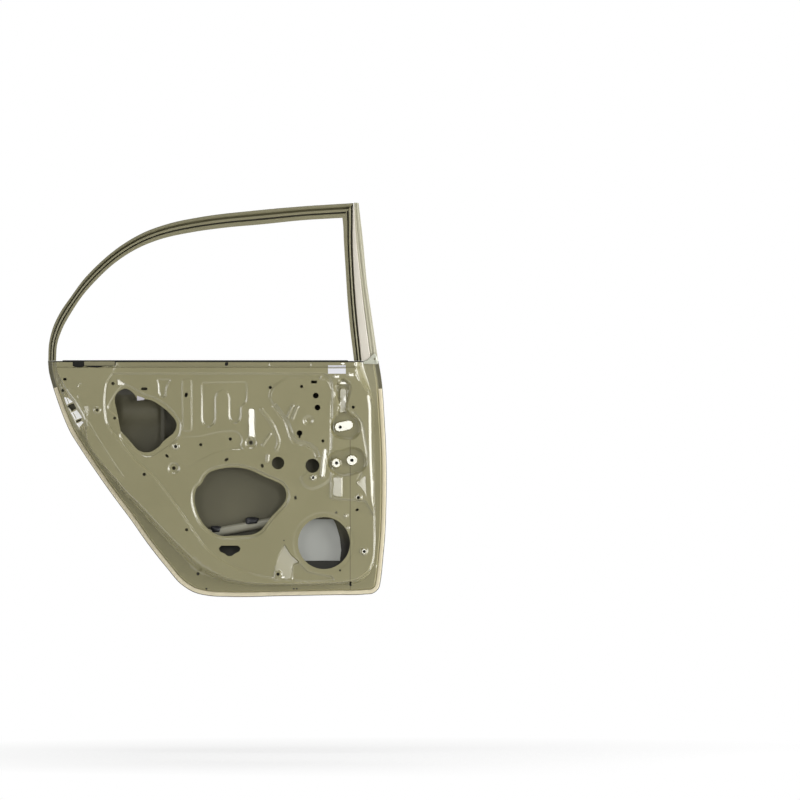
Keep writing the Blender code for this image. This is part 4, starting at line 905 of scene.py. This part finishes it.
class Value:
    """A shader socket that Python's operators work on."""

    def __init__(self, graph: Graph, socket: bpy.types.NodeSocket) -> None:
        """Wrap a socket of a graph."""
        self.graph = graph
        self.socket = socket

    def _math(self, operation: str, first: Any, second: Any) -> Value:
        """Add one Math node."""
        return self.graph.add("ShaderNodeMath", {"operation": operation}, {0: first, 1: second})[0]

    def __add__(self, other: Any) -> Value:
        """Sum."""
        return self._math("ADD", self, other)

    __radd__ = __add__

    def __mul__(self, other: Any) -> Value:
        """Product."""
        return self._math("MULTIPLY", self, other)

    __rmul__ = __mul__

    def __sub__(self, other: Any) -> Value:
        """Difference."""
        return self._math("SUBTRACT", self, other)

    def __rsub__(self, other: Any) -> Value:
        """Difference the other way round."""
        return self._math("SUBTRACT", other, self)

    def __pow__(self, other: Any) -> Value:
        """Power."""
        return self._math("POWER", self, other)


class Graph:
    """The nodes of one material or world."""

    def __init__(self, tree: bpy.types.NodeTree) -> None:
        """Start from an empty tree."""
        self.tree = tree
        tree.nodes.clear()

    def add(
        self, kind: str, settings: dict[str, Any] | None = None, inputs: dict[Any, Any] | None = None
    ) -> list[Value]:
        """Add a node.

        Args:
            kind: the node's type.
            settings: its properties, or the stops of a ramp under "stops".
            inputs: values or links for its sockets, by name or number.

        Returns:
            Its outputs.
        """
        node = self.tree.nodes.new(kind)
        for name, value in (settings or {}).items():
            if name == "stops":
                self._ramp(node.color_ramp, value)
            else:
                setattr(node, name, value)
        for name, value in (inputs or {}).items():
            if isinstance(value, Value):
                self.tree.links.new(value.socket, node.inputs[name])
            else:
                node.inputs[name].default_value = value
        return [Value(self, socket) for socket in node.outputs]

    @staticmethod
    def _ramp(ramp: bpy.types.ColorRamp, stops: Sequence[tuple[float, float]]) -> None:
        """Set the grey stops of a ramp."""
        while len(ramp.elements) < len(stops):
            ramp.elements.new(1.0)
        for element, (place, grey) in zip(ramp.elements, stops):
            element.position = place
            element.color = (grey, grey, grey, 1.0)

    def mixed(self, factor: Any, first: Any, second: Any) -> Value:
        """Mix two colours."""
        return self.add("ShaderNodeMix", {"data_type": "RGBA"}, {0: factor, 6: first, 7: second})[2]

    def noise(self, place: Value, scale: float) -> Value:
        """Noise from 0 to 1 at a place."""
        return self.add("ShaderNodeTexNoise", {}, {"Vector": place, "Scale": scale, "Detail": 3.0})[0]

    def place(self) -> Value:
        """Object coordinates."""
        return self.add("ShaderNodeTexCoord")[3]


@dataclass(frozen=True)
class Finish:
    """A painted or moulded surface."""

    name: str
    colour: Colour
    roughness: float
    coat: float = 0.0
    coat_roughness: float = 0.08
    mottle: float = 0.06
    mottle_scale: float = 7.0
    specular: float = 0.5
    roughness_spread: float = 0.08
    seam: tuple[float, float, float] | None = None
    # Heights between which the painted shade fades out upwards
    shade: tuple[float, float] | None = None
    seam_strength: float = 0.75
    dark_share: float = 0.22

    def toned(self, share: float) -> tuple[float, ...]:
        """The colour times a share, with its alpha."""
        return *(min(1.0, channel * share) for channel in self.colour), 1.0

    def material(self) -> bpy.types.Material:
        """Make the material once and return it after that."""
        made = bpy.data.materials.get(self.name)
        if made:
            return made
        made = bpy.data.materials.new(self.name)
        made.use_nodes = True
        graph = Graph(made.node_tree)
        place = graph.place()
        noise = graph.noise(place, self.mottle_scale)
        colour = graph.mixed(noise, self.toned(1 - self.mottle), self.toned(1 + self.mottle))
        inputs = {
            "Base Color": self.shaded(graph, place, colour),
            "Roughness": noise * self.roughness_spread + (self.roughness - self.roughness_spread / 2),
            "Specular IOR Level": self.specular,
            "Coat Weight": self.coat,
            "Coat Roughness": self.coat_roughness,
        }
        shader = graph.add("ShaderNodeBsdfPrincipled", {}, inputs)[0]
        graph.add("ShaderNodeOutputMaterial", {}, {"Surface": shader})
        return made

    def shaded(self, graph: Graph, place: Value, colour: Value) -> Value:
        """Darken the colour along the seam, and paint shade that deepens towards the bottom.

        Args:
            graph: the material's nodes.
            place: object coordinates.
            colour: the plain colour.

        Returns:
            The colour with both.
        """
        across, _, up = graph.add("ShaderNodeSeparateXYZ", {}, {0: place})
        dark = self.toned(self.dark_share)
        if self.seam:
            at, top, half_width = self.seam
            line = graph.add("ShaderNodeMath", {"operation": "COMPARE"}, {0: across, 1: at, 2: half_width})[0]
            below = graph.add("ShaderNodeMath", {"operation": "LESS_THAN"}, {0: up, 1: top})[0]
            colour = graph.mixed(line * below * self.seam_strength, colour, dark)
        # Painted shade: below the given heights the colour falls to the dark share
        if self.shade:
            low, high = self.shade
            settings = {"interpolation_type": "SMOOTHSTEP"}
            lit = graph.add("ShaderNodeMapRange", settings, {0: up, 1: low, 2: high})[0]
            colour = graph.mixed(lit, dark, colour)
        return colour

    def dress(self, *pieces: bpy.types.Object) -> None:
        """Give the pieces this finish."""
        for piece in pieces:
            piece.data.materials.clear()
            piece.data.materials.append(self.material())


PRIMER = Finish(
    "olive_primer", (0.234, 0.216, 0.114), 0.22, coat=0.9, coat_roughness=0.05, specular=0.9,
    seam=(-0.0666, -0.0500, 0.0008),
)
FRAME_PRIMER = Finish("olive_primer_frame", (0.190, 0.176, 0.098), 0.36, coat=0.25, coat_roughness=0.25)
# Darker copy of the olive primer for the door's inside: painted shade of the cavity, deepening towards the
# bottom as more painted shade
SHADED_INSIDE_PRIMER = Finish("olive_primer_painted_shade", (0.110, 0.102, 0.058), 0.48, mottle=0.10, shade=(-0.360, -0.285))
PALE_PRIMER = Finish("pale_primer", (0.70, 0.71, 0.64), 0.42)
SKIN_PRIMER = Finish("olive_primer_skin", (0.225, 0.208, 0.112), 0.34, coat=0.4, coat_roughness=0.20)
# White for painted highlights on the slanted latch face
LATCH_HIGHLIGHT_WHITE = Finish("painted_highlight_white", (0.80, 0.80, 0.78), 0.40)
GUSSET_PRIMER = Finish("grey_primer", (0.42, 0.43, 0.35), 0.35, coat=0.3)
STRIP_PRIMER = Finish("strip_primer", (0.36, 0.345, 0.25), 0.38, coat=0.2)
# Painted shade for the rails' grooves and the rear glass channel
GROOVE_PAINTED_SHADE = Finish("groove_painted_shade", (0.080, 0.075, 0.052), 0.55, specular=0.3)
SEALER = Finish("cream_sealer", (0.62, 0.56, 0.40), 0.50, mottle=0.14, mottle_scale=34.0)
MASTIC = Finish("black_mastic", (0.012, 0.012, 0.014), 0.45)
DAMPING = Finish("grey_damping", (0.50, 0.51, 0.47), 0.55)
# Darker copy of the primer for the steel pieces inside the door: painted shade
HIDDEN_PAINTED_SHADE_STEEL = Finish("olive_steel_painted_shade", (0.100, 0.094, 0.062), 0.34, coat=0.3)
TUBE_STEEL = Finish("grey_steel", (0.25, 0.24, 0.18), 0.30, coat=0.4)
# Near-black painted shade for the belt rails seen through the notch and above the belt
DEEP_SHADE_STEEL = Finish("deep_painted_shade_steel", (0.010, 0.010, 0.008), 0.60, specular=0.2)
LABEL_PAPER = Finish("label_paper", (0.62, 0.62, 0.65), 0.6, mottle=0.03, mottle_scale=60.0)
TAB_STEEL = Finish("tab_steel", (0.42, 0.40, 0.42), 0.40, coat=0.3)


@dataclass
class OuterSkin:
    """The outer panel with its rounded fold over the inner flange and the bowl behind the outer handle."""

    edge: Edge
    grid: float = 0.014
    bowl_end_shares: Places = (2260, 4720, 3020, 4720)
    bowl_share: float = 0.046
    bowl_depth: float = 0.013
    bowl_ramp: float = 0.050
    handle_hole_shares: Places = (2220, 5390, 3050, 5350)
    hole_radius: float = 0.009
    hole_step: float = 0.003
    top_step: float = 0.012
    ring_space: float = 0.002
    grid_space: float = 0.5
    hem_return: float = 0.009
    hem_bulge: float = 0.0004
    fold_steps: int = 6
    clearance: float = 0.00001

    def build(self, inside: Finish, outside: Finish) -> bpy.types.Object:
        """Make the skin and paint its two sides."""
        hem = self.edge.line
        top = Outline(hem.points[[-1, 0]]).spaced(self.top_step).points[1:-1]
        rim = Outline(np.vstack((hem.points, top)), True)
        middle = Outline.pill(*DOOR.placed(self.bowl_end_shares), self.bowl_share * DOOR.height, END_STEP)
        bowl = Form(middle, self.bowl_depth, self.bowl_ramp)
        centres = DOOR.placed(self.handle_hole_shares)
        holes = [Outline.disc(centre, self.hole_radius, self.hole_step) for centre in centres]
        held = np.vstack([rim.points] + [hole.points for hole in holes])
        fine = thinned(bowl.ring_points(END_STEP), held, self.ring_space)
        even = lattice(rim, self.grid, self.grid)
        points = np.vstack((fine, thinned(even, np.vstack((held, fine)), self.grid * self.grid_space)))
        flat, faces, origins = tiled(rim, holes, points[rim.contains(points)])
        level = DOOR.skin_y(flat[:, 1]) - bowl.rise * bowl.weight(flat) - self.clearance
        vertices = [tuple(row) for row in raised(flat, level)]
        faces = [list(reversed(face)) for face in faces]
        at_rim = {source: place for place, sources in enumerate(origins) for source in sources}
        self.fold(vertices, faces, [at_rim[place] for place in range(len(hem.points))])
        sheet = SheetMesh("outer_skin", "inner_primer", DOOR.skin_sheet)
        piece = sheet.build(np.array(vertices), faces, inside, ["outer_panel"])
        # The inner side gets the darker primer with painted shade, the outer side the plain skin primer
        piece.data.materials.append(outside.material())
        for polygon in piece.data.polygons:
            polygon.material_index = int(polygon.normal.y > 0)
        return piece

    def fold(self, vertices: list[tuple[float, ...]], faces: list[list[int]], rim: list[int]) -> None:
        """Fold the edge back over the inner flange in a small arc.

        Args:
            vertices: points so far, to which the fold's points are added.
            faces: faces so far, to which the fold's faces are added.
            rim: numbers of the points along the edge.
        """
        fold = 2 * DOOR.skin_sheet + DOOR.inner_sheet + 2 * DOOR.seat_gap
        arc = [math.pi * step / self.fold_steps for step in range(1, self.fold_steps + 1)]
        rings = [(self.hem_bulge * math.sin(angle), fold / 2 * (1 - math.cos(angle))) for angle in arc]
        rings += [(-self.hem_return / 2, fold), (-self.hem_return, fold)]
        previous = rim
        for outward, drop in rings:
            line = self.edge.inside(-outward).points
            current = list(range(len(vertices), len(vertices) + len(line)))
            vertices += [(x, float(DOOR.skin_y(z)) - drop, z) for x, z in line]
            faces += [list(corners) for corners in zip(previous, previous[1:], current[1:], current)]
            previous = current


@dataclass
class SealerBead:
    """The bead along the fold, with the slightly uneven width of brushed sealer."""

    edge: Edge
    start: float = 0.0015
    fold_end: float = 0.0093
    end: float = 0.0125
    rise: float = 0.0010
    waviness: float = 0.0002
    wave_turn: float = 0.9
    top_share: float = 0.535

    def build(self, finish: Finish) -> bpy.types.Object:
        """Sweep the bead along the edge, up to where the real one runs out."""
        over = 2 * DOOR.skin_sheet + DOOR.inner_sheet + 3 * DOOR.seat_gap
        under = DOOR.skin_sheet + DOOR.inner_sheet + 2 * DOOR.seat_gap
        section = [
            (self.start, over), (self.fold_end, over), (self.fold_end, under), (self.end, under),
            (self.end - 0.0003, over - 0.0003), (self.end - 0.0012, over + 0.0004),
            (self.fold_end, over + self.rise), (self.start + 0.003, over + self.rise),
            (self.start + 0.001, over + self.rise * 0.8),
        ]
        sealed = np.flatnonzero(self.edge.line.points[:, 1] < self.top_share * DOOR.height)
        count, sides = len(sealed), len(section)
        rings = []
        for number, (inward, drop) in enumerate(section):
            line = self.edge.inside(inward).points[sealed]
            # Only the inner side of the bead is uneven
            swing = np.sin(np.arange(count) * self.wave_turn + number) * (3 <= number <= 5)
            rings.append(raised(line, DOOR.skin_y(line[:, 1]) - drop - np.abs(self.waviness * swing)))
        vertices = np.stack(rings, axis=1).reshape(-1, 3)
        faces = [list(reversed(range(sides))), list(range((count - 1) * sides, count * sides))]
        for here in range(0, (count - 1) * sides, sides):
            there = here + sides
            for side in range(sides):
                ahead = (side + 1) % sides
                faces.append([here + ahead, there + ahead, there + side, here + side])
        sheet = SheetMesh("hem_sealer_bead", "seam_sealer", 0.0, 60.0)
        return sheet.build(vertices, faces, finish, ["hem_sealer"])


@dataclass
class Rail:
    """A roll-formed rail: a section carried between two edges that follow the skin's lean."""

    name: str
    node: str
    slot: str
    left: Places
    right: Places
    section: Shares
    width: float
    grooves: Shares = ()
    step: float = 0.006
    fillet: float = 0.0022
    fillet_most: float = 0.48
    fillet_steps: int = 6

    def rounded(self) -> np.ndarray:
        """Section with its corners rounded, as share across and height off the skin in metres."""
        points = np.array([(share * self.width, height / MILLI) for share, height in self.section])
        rounded = [points[0]]
        for corner in zip(points, points[1:], points[2:]):
            rounded += corner_curve(*corner, self.fillet, self.fillet_most, self.fillet_steps)
        return np.array([*rounded, points[-1]]) / (self.width, 1)

    @staticmethod
    def evenly(line: Outline, count: int) -> np.ndarray:
        """Points at even shares of a line's length."""
        along = line.along()
        at = np.linspace(0, along[-1], count + 1)
        return np.column_stack([np.interp(at, along, line.points[:, axis]) for axis in (0, 1)])

    def build(self, finish: Finish) -> bpy.types.Object:
        """Loft the rail and paint it."""
        sides = [Outline.of(side, closed=False).smoothed(self.step / 2) for side in (self.left, self.right)]
        count = round(float(sides[0].along()[-1]) / self.step)
        section = self.rounded()
        vertices = []
        for outer, inner in zip(*(self.evenly(side, count) for side in sides)):
            for share, height in section:
                x, z = outer + share * (inner - outer)
                vertices.append((x, float(DOOR.skin_y(z)) - height, z))
        width = len(section)
        corners = [row * width + k for row in range(count) for k in range(width - 1)]
        faces = [(here + width, here + width + 1, here + 1, here) for here in corners]
        sheet = SheetMesh(self.name, self.slot, DOOR.frame_sheet, smooth_angle=70.0)
        piece = sheet.build(np.array(vertices), faces, finish, [self.node])
        self.shade(piece, section, len(faces))
        return piece

    def shade(self, piece: bpy.types.Object, section: np.ndarray, count: int) -> None:
        """Paint shade into the grooves.

        Args:
            piece: the lofted rail.
            section: its section.
            count: number of faces on the visible side.
        """
        piece.data.materials.append(GROOVE_PAINTED_SHADE.material())
        spans = [sorted(span) for span in zip(section[:-1, 0], section[1:, 0])]
        columns = [any(start <= low and high <= end for start, end in self.grooves) for low, high in spans]
        for number in range(count):
            if columns[number % len(columns)]:
                piece.data.polygons[number].material_index = 1


UPPER_SASH = Rail(
    "upper_sash_rolled", "upper_sash", "primer_paint",
    left=(
        5, 6005, 30, 6430, 148, 6840, 380, 7250, 710, 7656, 1060, 8060, 1520, 8465, 2090, 8870, 2885, 9267,
        3535, 9465, 4640, 9662, 6000, 9800, 7500, 9915, 9035, 9998,
    ),
    right=(
        235, 6005, 275, 6430, 440, 6840, 710, 7250, 1030, 7656, 1450, 8060, 1960, 8465, 2700, 8870,
        3260, 9065, 4280, 9265, 5200, 9375, 6350, 9465, 7500, 9565, 8705, 9628,
    ),
    section=(
        (1, 20), (0.71, 21), (0.69, 9), (0.62, 9), (0.6, 26), (0.42, 24), (0.4, 3), (0.31, 3), (0.29, 14),
        (0.08, 14), (0, 9), (0.03, 3), (1, 3),
    ),
    width=0.038,
    grooves=((0.6, 0.71), (0.3, 0.41)),
)
FRONT_SASH = Rail(
    "front_sash_rolled", "front_sash", "primer_paint",
    left=(8703, 9632, 8722, 9490, 8744, 9080, 8800, 8270, 8860, 7450, 8950, 6637, 9010, 6230, 9040, 6005),
    right=(9036, 9997, 9030, 9650, 9010, 9080, 9045, 8270, 9105, 7450, 9195, 6637, 9240, 6230, 9265, 6005),
    section=(
        (0, 20), (0.4, 21), (0.43, 9), (0.52, 9), (0.55, 25), (0.72, 24), (0.75, 6), (0.9, 6), (0.93, 14),
        (0.98, 14), (0.98, 3), (0, 3),
    ),
    width=0.024,
    grooves=((0.42, 0.53), (0.745, 0.905)),
)
PILLAR_PLATE = Rail(
    "pillar_plate_pressed", "pillar_plate", "pale_primer",
    left=(9010, 9900, 9005, 9350, 9005, 9000, 9050, 8000, 9140, 7000, 9255, 6005),
    right=(9065, 9900, 9100, 9350, 9140, 9000, 9280, 8000, 9430, 7000, 9590, 6005),
    section=((0.01, 3), (0.01, 16), (0.82, 16), (0.86, 3), (1, 3)),
    width=0.024,
    grooves=((0.83, 1),),
    fillet=0.0012,
)
PILLAR_STRIP = Rail(
    "pillar_strip_rolled", "pillar_outer_strip", "seam_sealer",
    left=(9046, 9998, 9046, 9630, 9100, 9050, 9250, 8000, 9400, 7000, 9545, 6005),
    right=(9185, 9998, 9225, 9694, 9306, 9080, 9425, 8000, 9580, 7045, 9755, 6005),
    section=(
        (0, 10), (0.26, 10), (0.32, 8.4), (0.4, 8.4), (0.46, 10), (0.7, 10), (0.76, 8.6), (0.94, 8.6),
        (1, 5), (0.98, 1.2),
    ),
    width=0.018,
    fillet=0.0009,
)


@dataclass
class Patch:
    """A thin sheet that lies on the panel: a sticker, a small welded tab, or a white sheet painted as a
    highlight.
    """

    name: str
    slot: str
    finish: Finish
    corners: Places
    lift: float = 0.0004
    sheet: float = 0.0002
    columns: int = 14
    rows: int = 8

    def build(self, panel: InnerPanel) -> bpy.types.Object:
        """Lay a small grid over the panel and paint it."""
        low_left, low_right, high_right, high_left = DOOR.placed(self.corners)
        grid = np.array([
            (low_left * (1 - k) + low_right * k) * (1 - row) + (high_left * (1 - k) + high_right * k) * row
            for row in np.linspace(0, 1, self.rows + 1)
            for k in np.linspace(0, 1, self.columns + 1)
        ])
        wide = self.columns + 1
        corners = [row * wide + k for row in range(self.rows) for k in range(self.columns)]
        faces = [(here, here + 1, here + wide + 1, here + wide) for here in corners]
        sheet = SheetMesh(self.name, self.slot, self.sheet)
        return sheet.build(raised(grid, panel.level(grid) - self.lift), faces, self.finish)


PATCHES = (
    Patch("bare_label", "pale_primer", LABEL_PAPER, boxed(8275, 5675, 8800, 5890)),
    # Painted highlights where the latch face catches the lamps
    Patch("latch_highlight_1", "pale_primer", LATCH_HIGHLIGHT_WHITE, (545, 4890, 745, 4960, 571, 5070, 471, 5070)),
    Patch("latch_highlight_2", "pale_primer", LATCH_HIGHLIGHT_WHITE, (803, 4500, 1020, 4560, 856, 4752, 671, 4677)),
    Patch("latch_highlight_3", "pale_primer", LATCH_HIGHLIGHT_WHITE, (922, 4306, 1060, 4440, 1000, 4463, 830, 4405)),
    Patch("handle_tab", "coated_steel", TAB_STEEL, (2640, 4990, 2850, 5010, 2860, 5050, 2640, 5115)),
    Patch("belt_tab", "primer_paint", FRAME_PRIMER, boxed(1080, 5880, 1980, 5985), lift=-0.0013),
)


@dataclass(frozen=True)
class Gusset:
    """The small three-sided plate at the foot of the front upright, with its rim turned down."""

    places: Places = (
        9300, 5935, 9310, 5985, 9450, 6040, 9600, 6180, 9660, 6195, 9715, 6120, 9760, 5960, 9740, 5915,
    )
    front: float = 0.0440
    rim_drop: float = 0.0030
    rim_width: float = 0.0022
    corner: float = 0.003
    corner_steps: int = 3
    hole_share: Places = (9655, 6050)
    hole_radius: float = 0.0034
    hole_step: float = 0.0015
    margin: float = 0.01

    def build(self, finish: Finish) -> bpy.types.Object:
        """Make the plate and paint it."""
        rim = Outline.of(self.places).filleted(self.corner, self.corner_steps)
        hole = Outline.disc(DOOR.placed(self.hole_share)[0], self.hole_radius, self.hole_step)
        inner = rim.pushed(-self.rim_width).points
        flat, faces, _ = tiled(rim, [hole], inner[rim.contains(inner)])
        share = eased(rim.depth(flat, self.margin) / self.rim_width)
        level = -self.front + self.rim_drop * (1 - share)
        sheet = SheetMesh("gusset_pressed", "primer_paint", DOOR.frame_sheet)
        return sheet.build(raised(flat, level), faces, finish, ["belt_gusset_front"])


@dataclass(frozen=True)
class MasticLump:
    """A lump of mastic pressed round the tube by hand."""

    name: str
    node: str
    middle: tuple[float, float, float]
    half: tuple[float, float, float]
    squareness: float = 0.75
    swell: float = 0.10
    waves: tuple[float, float] = (4.0, 5.0)
    skin_gap: float = 0.0002

    def build(self, finish: Finish) -> bpy.types.Object:
        """Shape a ball into the lump, flat against the skin, and paint it."""
        bpy.ops.object.select_all(action="DESELECT")
        bpy.ops.mesh.primitive_uv_sphere_add(segments=40, ring_count=24, radius=1.0)
        piece = bpy.context.object
        piece.name = piece.data.name = self.name
        across, depth, up = self.middle
        middle = np.array((across * DOOR.width, depth, up * DOOR.height)) - DOOR.seat
        for corner in piece.data.vertices:
            ball = np.array(corner.co)
            across_wave, up_wave = self.waves
            swell = 1 + self.swell * math.sin(across_wave * ball[0] + 1) * math.cos(up_wave * ball[2])
            point = middle + np.sign(ball) * np.abs(ball) ** self.squareness * np.array(self.half) * swell
            skin = DOOR.skin_y(point[2] + DOOR.seat[2]) - DOOR.skin_sheet - self.skin_gap - DOOR.seat[1]
            corner.co = (point[0], min(point[1], float(skin)), point[2])
        bpy.ops.object.shade_smooth()
        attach(piece, "root")
        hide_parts(self.node)
        finish.dress(piece)
        LOG.info("%s: %d faces", self.name, len(piece.data.polygons))
        return piece


LUMPS = (
    MasticLump("mastic_lump_1", "mastic_pad_1", (0.4960, -0.0260, 0.1700), (0.0170, 0.0180, 0.0120)),
    MasticLump("mastic_lump_2", "mastic_pad_2", (0.6030, -0.0255, 0.1925), (0.0200, 0.0180, 0.0115)),
)


@dataclass(frozen=True)
class Lamp:
    """A soft lamp that points at the door, placed in degrees from the way to the camera."""

    name: str
    turn: float
    lift: float
    distance: float
    size: tuple[float, float]
    radiance: float

    def hang(self, middle: Vector) -> None:
        """Hang the lamp at its distance from the door's middle."""
        data = bpy.data.lights.new(self.name, "AREA")
        data.shape = "RECTANGLE"
        data.size, data.size_y = self.size
        data.energy = self.radiance * math.pi * self.size[0] * self.size[1]
        lamp = bpy.data.objects.new(self.name, data)
        bpy.context.scene.collection.objects.link(lamp)
        turn, lift = math.radians(self.turn), math.radians(self.lift)
        way = Vector((math.sin(turn) * math.cos(lift), -math.cos(turn) * math.cos(lift), math.sin(lift)))
        lamp.location = middle + self.distance * way
        lamp.rotation_euler = (-way).to_track_quat("-Z", "Y").to_euler()


# Two near the camera, two at the right, one at the left, one above, one low at the left and one behind
LAMPS = (
    Lamp("near_right", 20.0, 5.0, 6.0, (1.0, 1.4), 11.0),
    Lamp("near_left", -20.0, 5.0, 6.0, (1.0, 1.4), 5.0),
    Lamp("side_right", 60.0, 4.0, 4.0, (2.2, 2.4), 5.0),
    Lamp("far_right", 88.0, 4.0, 4.0, (2.2, 2.4), 6.0),
    Lamp("side_left", -62.0, 4.0, 4.0, (2.0, 2.4), 3.6),
    Lamp("above", 0.0, 60.0, 4.0, (2.4, 1.0), 4.5),
    Lamp("low_left", -95.0, -22.0, 2.0, (0.7, 0.7), 3.0),
    Lamp("behind", 170.0, 35.0, 4.0, (2.0, 2.0), 4.0),
)


@dataclass(frozen=True)
class Studio:
    """Floor, world and camera, with the door's place in the photograph in pixels."""

    photo_side: float = 800.0
    door_left: float = 48.0
    door_foot: float = 596.5
    door_wide: float = 338.5
    door_tall: float = 392.5
    distance: float = 30.0
    front: float = -0.03
    sensor: float = 36.0
    sight: float = 100.0
    middle: tuple[float, float, float] = (-0.45, -0.02, 0.02)
    floor_size: float = 40.0
    floor_level: float = -0.95
    floor_grey: float = 0.86
    fade: tuple[float, float] = (0.7, 1.7)
    fade_start: float = 0.62
    room_light: float = 0.20

    def build(self) -> None:
        """Set up everything round the door."""
        self.floor()
        self.world()
        for lamp in LAMPS:
            lamp.hang(Vector(self.middle))
        self.camera()
        bpy.context.scene.view_settings.view_transform = "Standard"

    def floor(self) -> None:
        """Lay a pale floor well below the held-up door, white to the camera farther out."""
        bpy.ops.object.select_all(action="DESELECT")
        bpy.ops.mesh.primitive_plane_add(size=self.floor_size, location=(0, 0, self.floor_level))
        floor = bpy.context.object
        floor.name = "pale_floor"
        material = bpy.data.materials.new("pale_floor")
        material.use_nodes = True
        graph = Graph(material.node_tree)
        seen = graph.add("ShaderNodeLightPath")[0]
        far = graph.add("ShaderNodeVectorMath", {"operation": "LENGTH"}, {0: graph.place()})[1]
        near, end = self.fade
        fade = {0: far, 1: near, 2: end, 3: self.fade_start, 4: 1.0}
        away = graph.add("ShaderNodeMapRange", {"clamp": True}, fade)[0]
        lit = graph.add("ShaderNodeBsdfDiffuse", {}, {"Color": (*[self.floor_grey] * 3, 1)})[0]
        white = graph.add("ShaderNodeEmission", {}, {"Color": (1, 1, 1, 1), "Strength": 1.0})[0]
        mixed = graph.add("ShaderNodeMixShader", {}, {0: seen * away, 1: lit, 2: white})[0]
        graph.add("ShaderNodeOutputMaterial", {}, {"Surface": mixed})
        floor.data.materials.append(material)

    def world(self) -> None:
        """Make a grey room that the camera sees as white."""
        world = bpy.data.worlds.new("studio")
        bpy.context.scene.world = world
        world.use_nodes = True
        graph = Graph(world.node_tree)
        seen = graph.add("ShaderNodeLightPath")[0]
        room, white = (
            graph.add("ShaderNodeBackground", {}, {"Color": (1, 1, 1, 1), "Strength": strength})[0]
            for strength in (self.room_light, 1.0)
        )
        mixed = graph.add("ShaderNodeMixShader", {}, {0: seen, 1: room, 2: white})[0]
        graph.add("ShaderNodeOutputWorld", {}, {"Surface": mixed})

    def camera(self) -> None:
        """Set the camera square to the door, level with the middle of the photograph."""
        data = bpy.data.cameras.new("camera")
        data.sensor_width = self.sensor
        data.lens = self.sensor * self.distance / (self.photo_side / self.door_wide * DOOR.width)
        data.clip_end = self.sight
        camera = bpy.data.objects.new("camera", data)
        bpy.context.scene.collection.objects.link(camera)
        across = (self.photo_side / 2 - self.door_left) / self.door_wide * DOOR.width - DOOR.seat[0]
        up = (self.door_foot - self.photo_side / 2) / self.door_tall * DOOR.height - DOOR.seat[2]
        camera.location = (across, self.front + DOOR.seat_depth - self.distance, up)
        camera.rotation_euler = (math.pi / 2, 0, 0)
        bpy.context.scene.camera = camera


def paint_solids(nodes: dict[str, bpy.types.Object]) -> None:
    """Give every solid that stays in view its finish."""
    finishes = {
        TUBE_STEEL: ("intrusion_beam",),
        # Belt rails painted near black as shade
        DEEP_SHADE_STEEL: ("belt_rail_outer", "belt_rail_inner"),
        # Rear glass channel painted dark as shade
        GROOVE_PAINTED_SHADE: ("rear_glass_channel",),
        # Pieces inside the cavity take the primer darkened as painted shade
        HIDDEN_PAINTED_SHADE_STEEL: (
            "beam_bracket_front", "beam_bracket_rear", "hinge_reinforcement_upper",
            "hinge_reinforcement_lower", "hinge_nut_plate_upper", "hinge_nut_plate_lower",
            "check_strap_reinforcement", "front_glass_channel", "handle_reinforcement",
            "latch_reinforcement", *(f"weld_nut_{number}" for number in range(1, 7)),
        ),
        MASTIC: ("mastic_pad_3", "mastic_pad_4"),
        DAMPING: ("damping_sheet",),
    }
    for finish, names in finishes.items():
        finish.dress(*(nodes[name] for name in names))


def main() -> None:
    """Build the door's looks and its studio."""
    logging.basicConfig(level=logging.INFO, format="%(name)s: %(message)s")
    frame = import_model()
    edge = Edge()
    panel = InnerPanel(edge)
    panel.build(PRIMER)
    OuterSkin(edge).build(SHADED_INSIDE_PRIMER, SKIN_PRIMER)
    SealerBead(edge).build(SEALER)
    UPPER_SASH.build(FRAME_PRIMER)
    FRONT_SASH.build(FRAME_PRIMER)
    PILLAR_PLATE.build(PALE_PRIMER)
    PILLAR_STRIP.build(STRIP_PRIMER)
    Gusset().build(GUSSET_PRIMER)
    for lump in LUMPS:
        lump.build(MASTIC)
    for patch in PATCHES:
        patch.build(panel)
    paint_solids(frame["nodes"])
    Studio().build()
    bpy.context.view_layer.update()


if __name__ == "__main__":
    main()
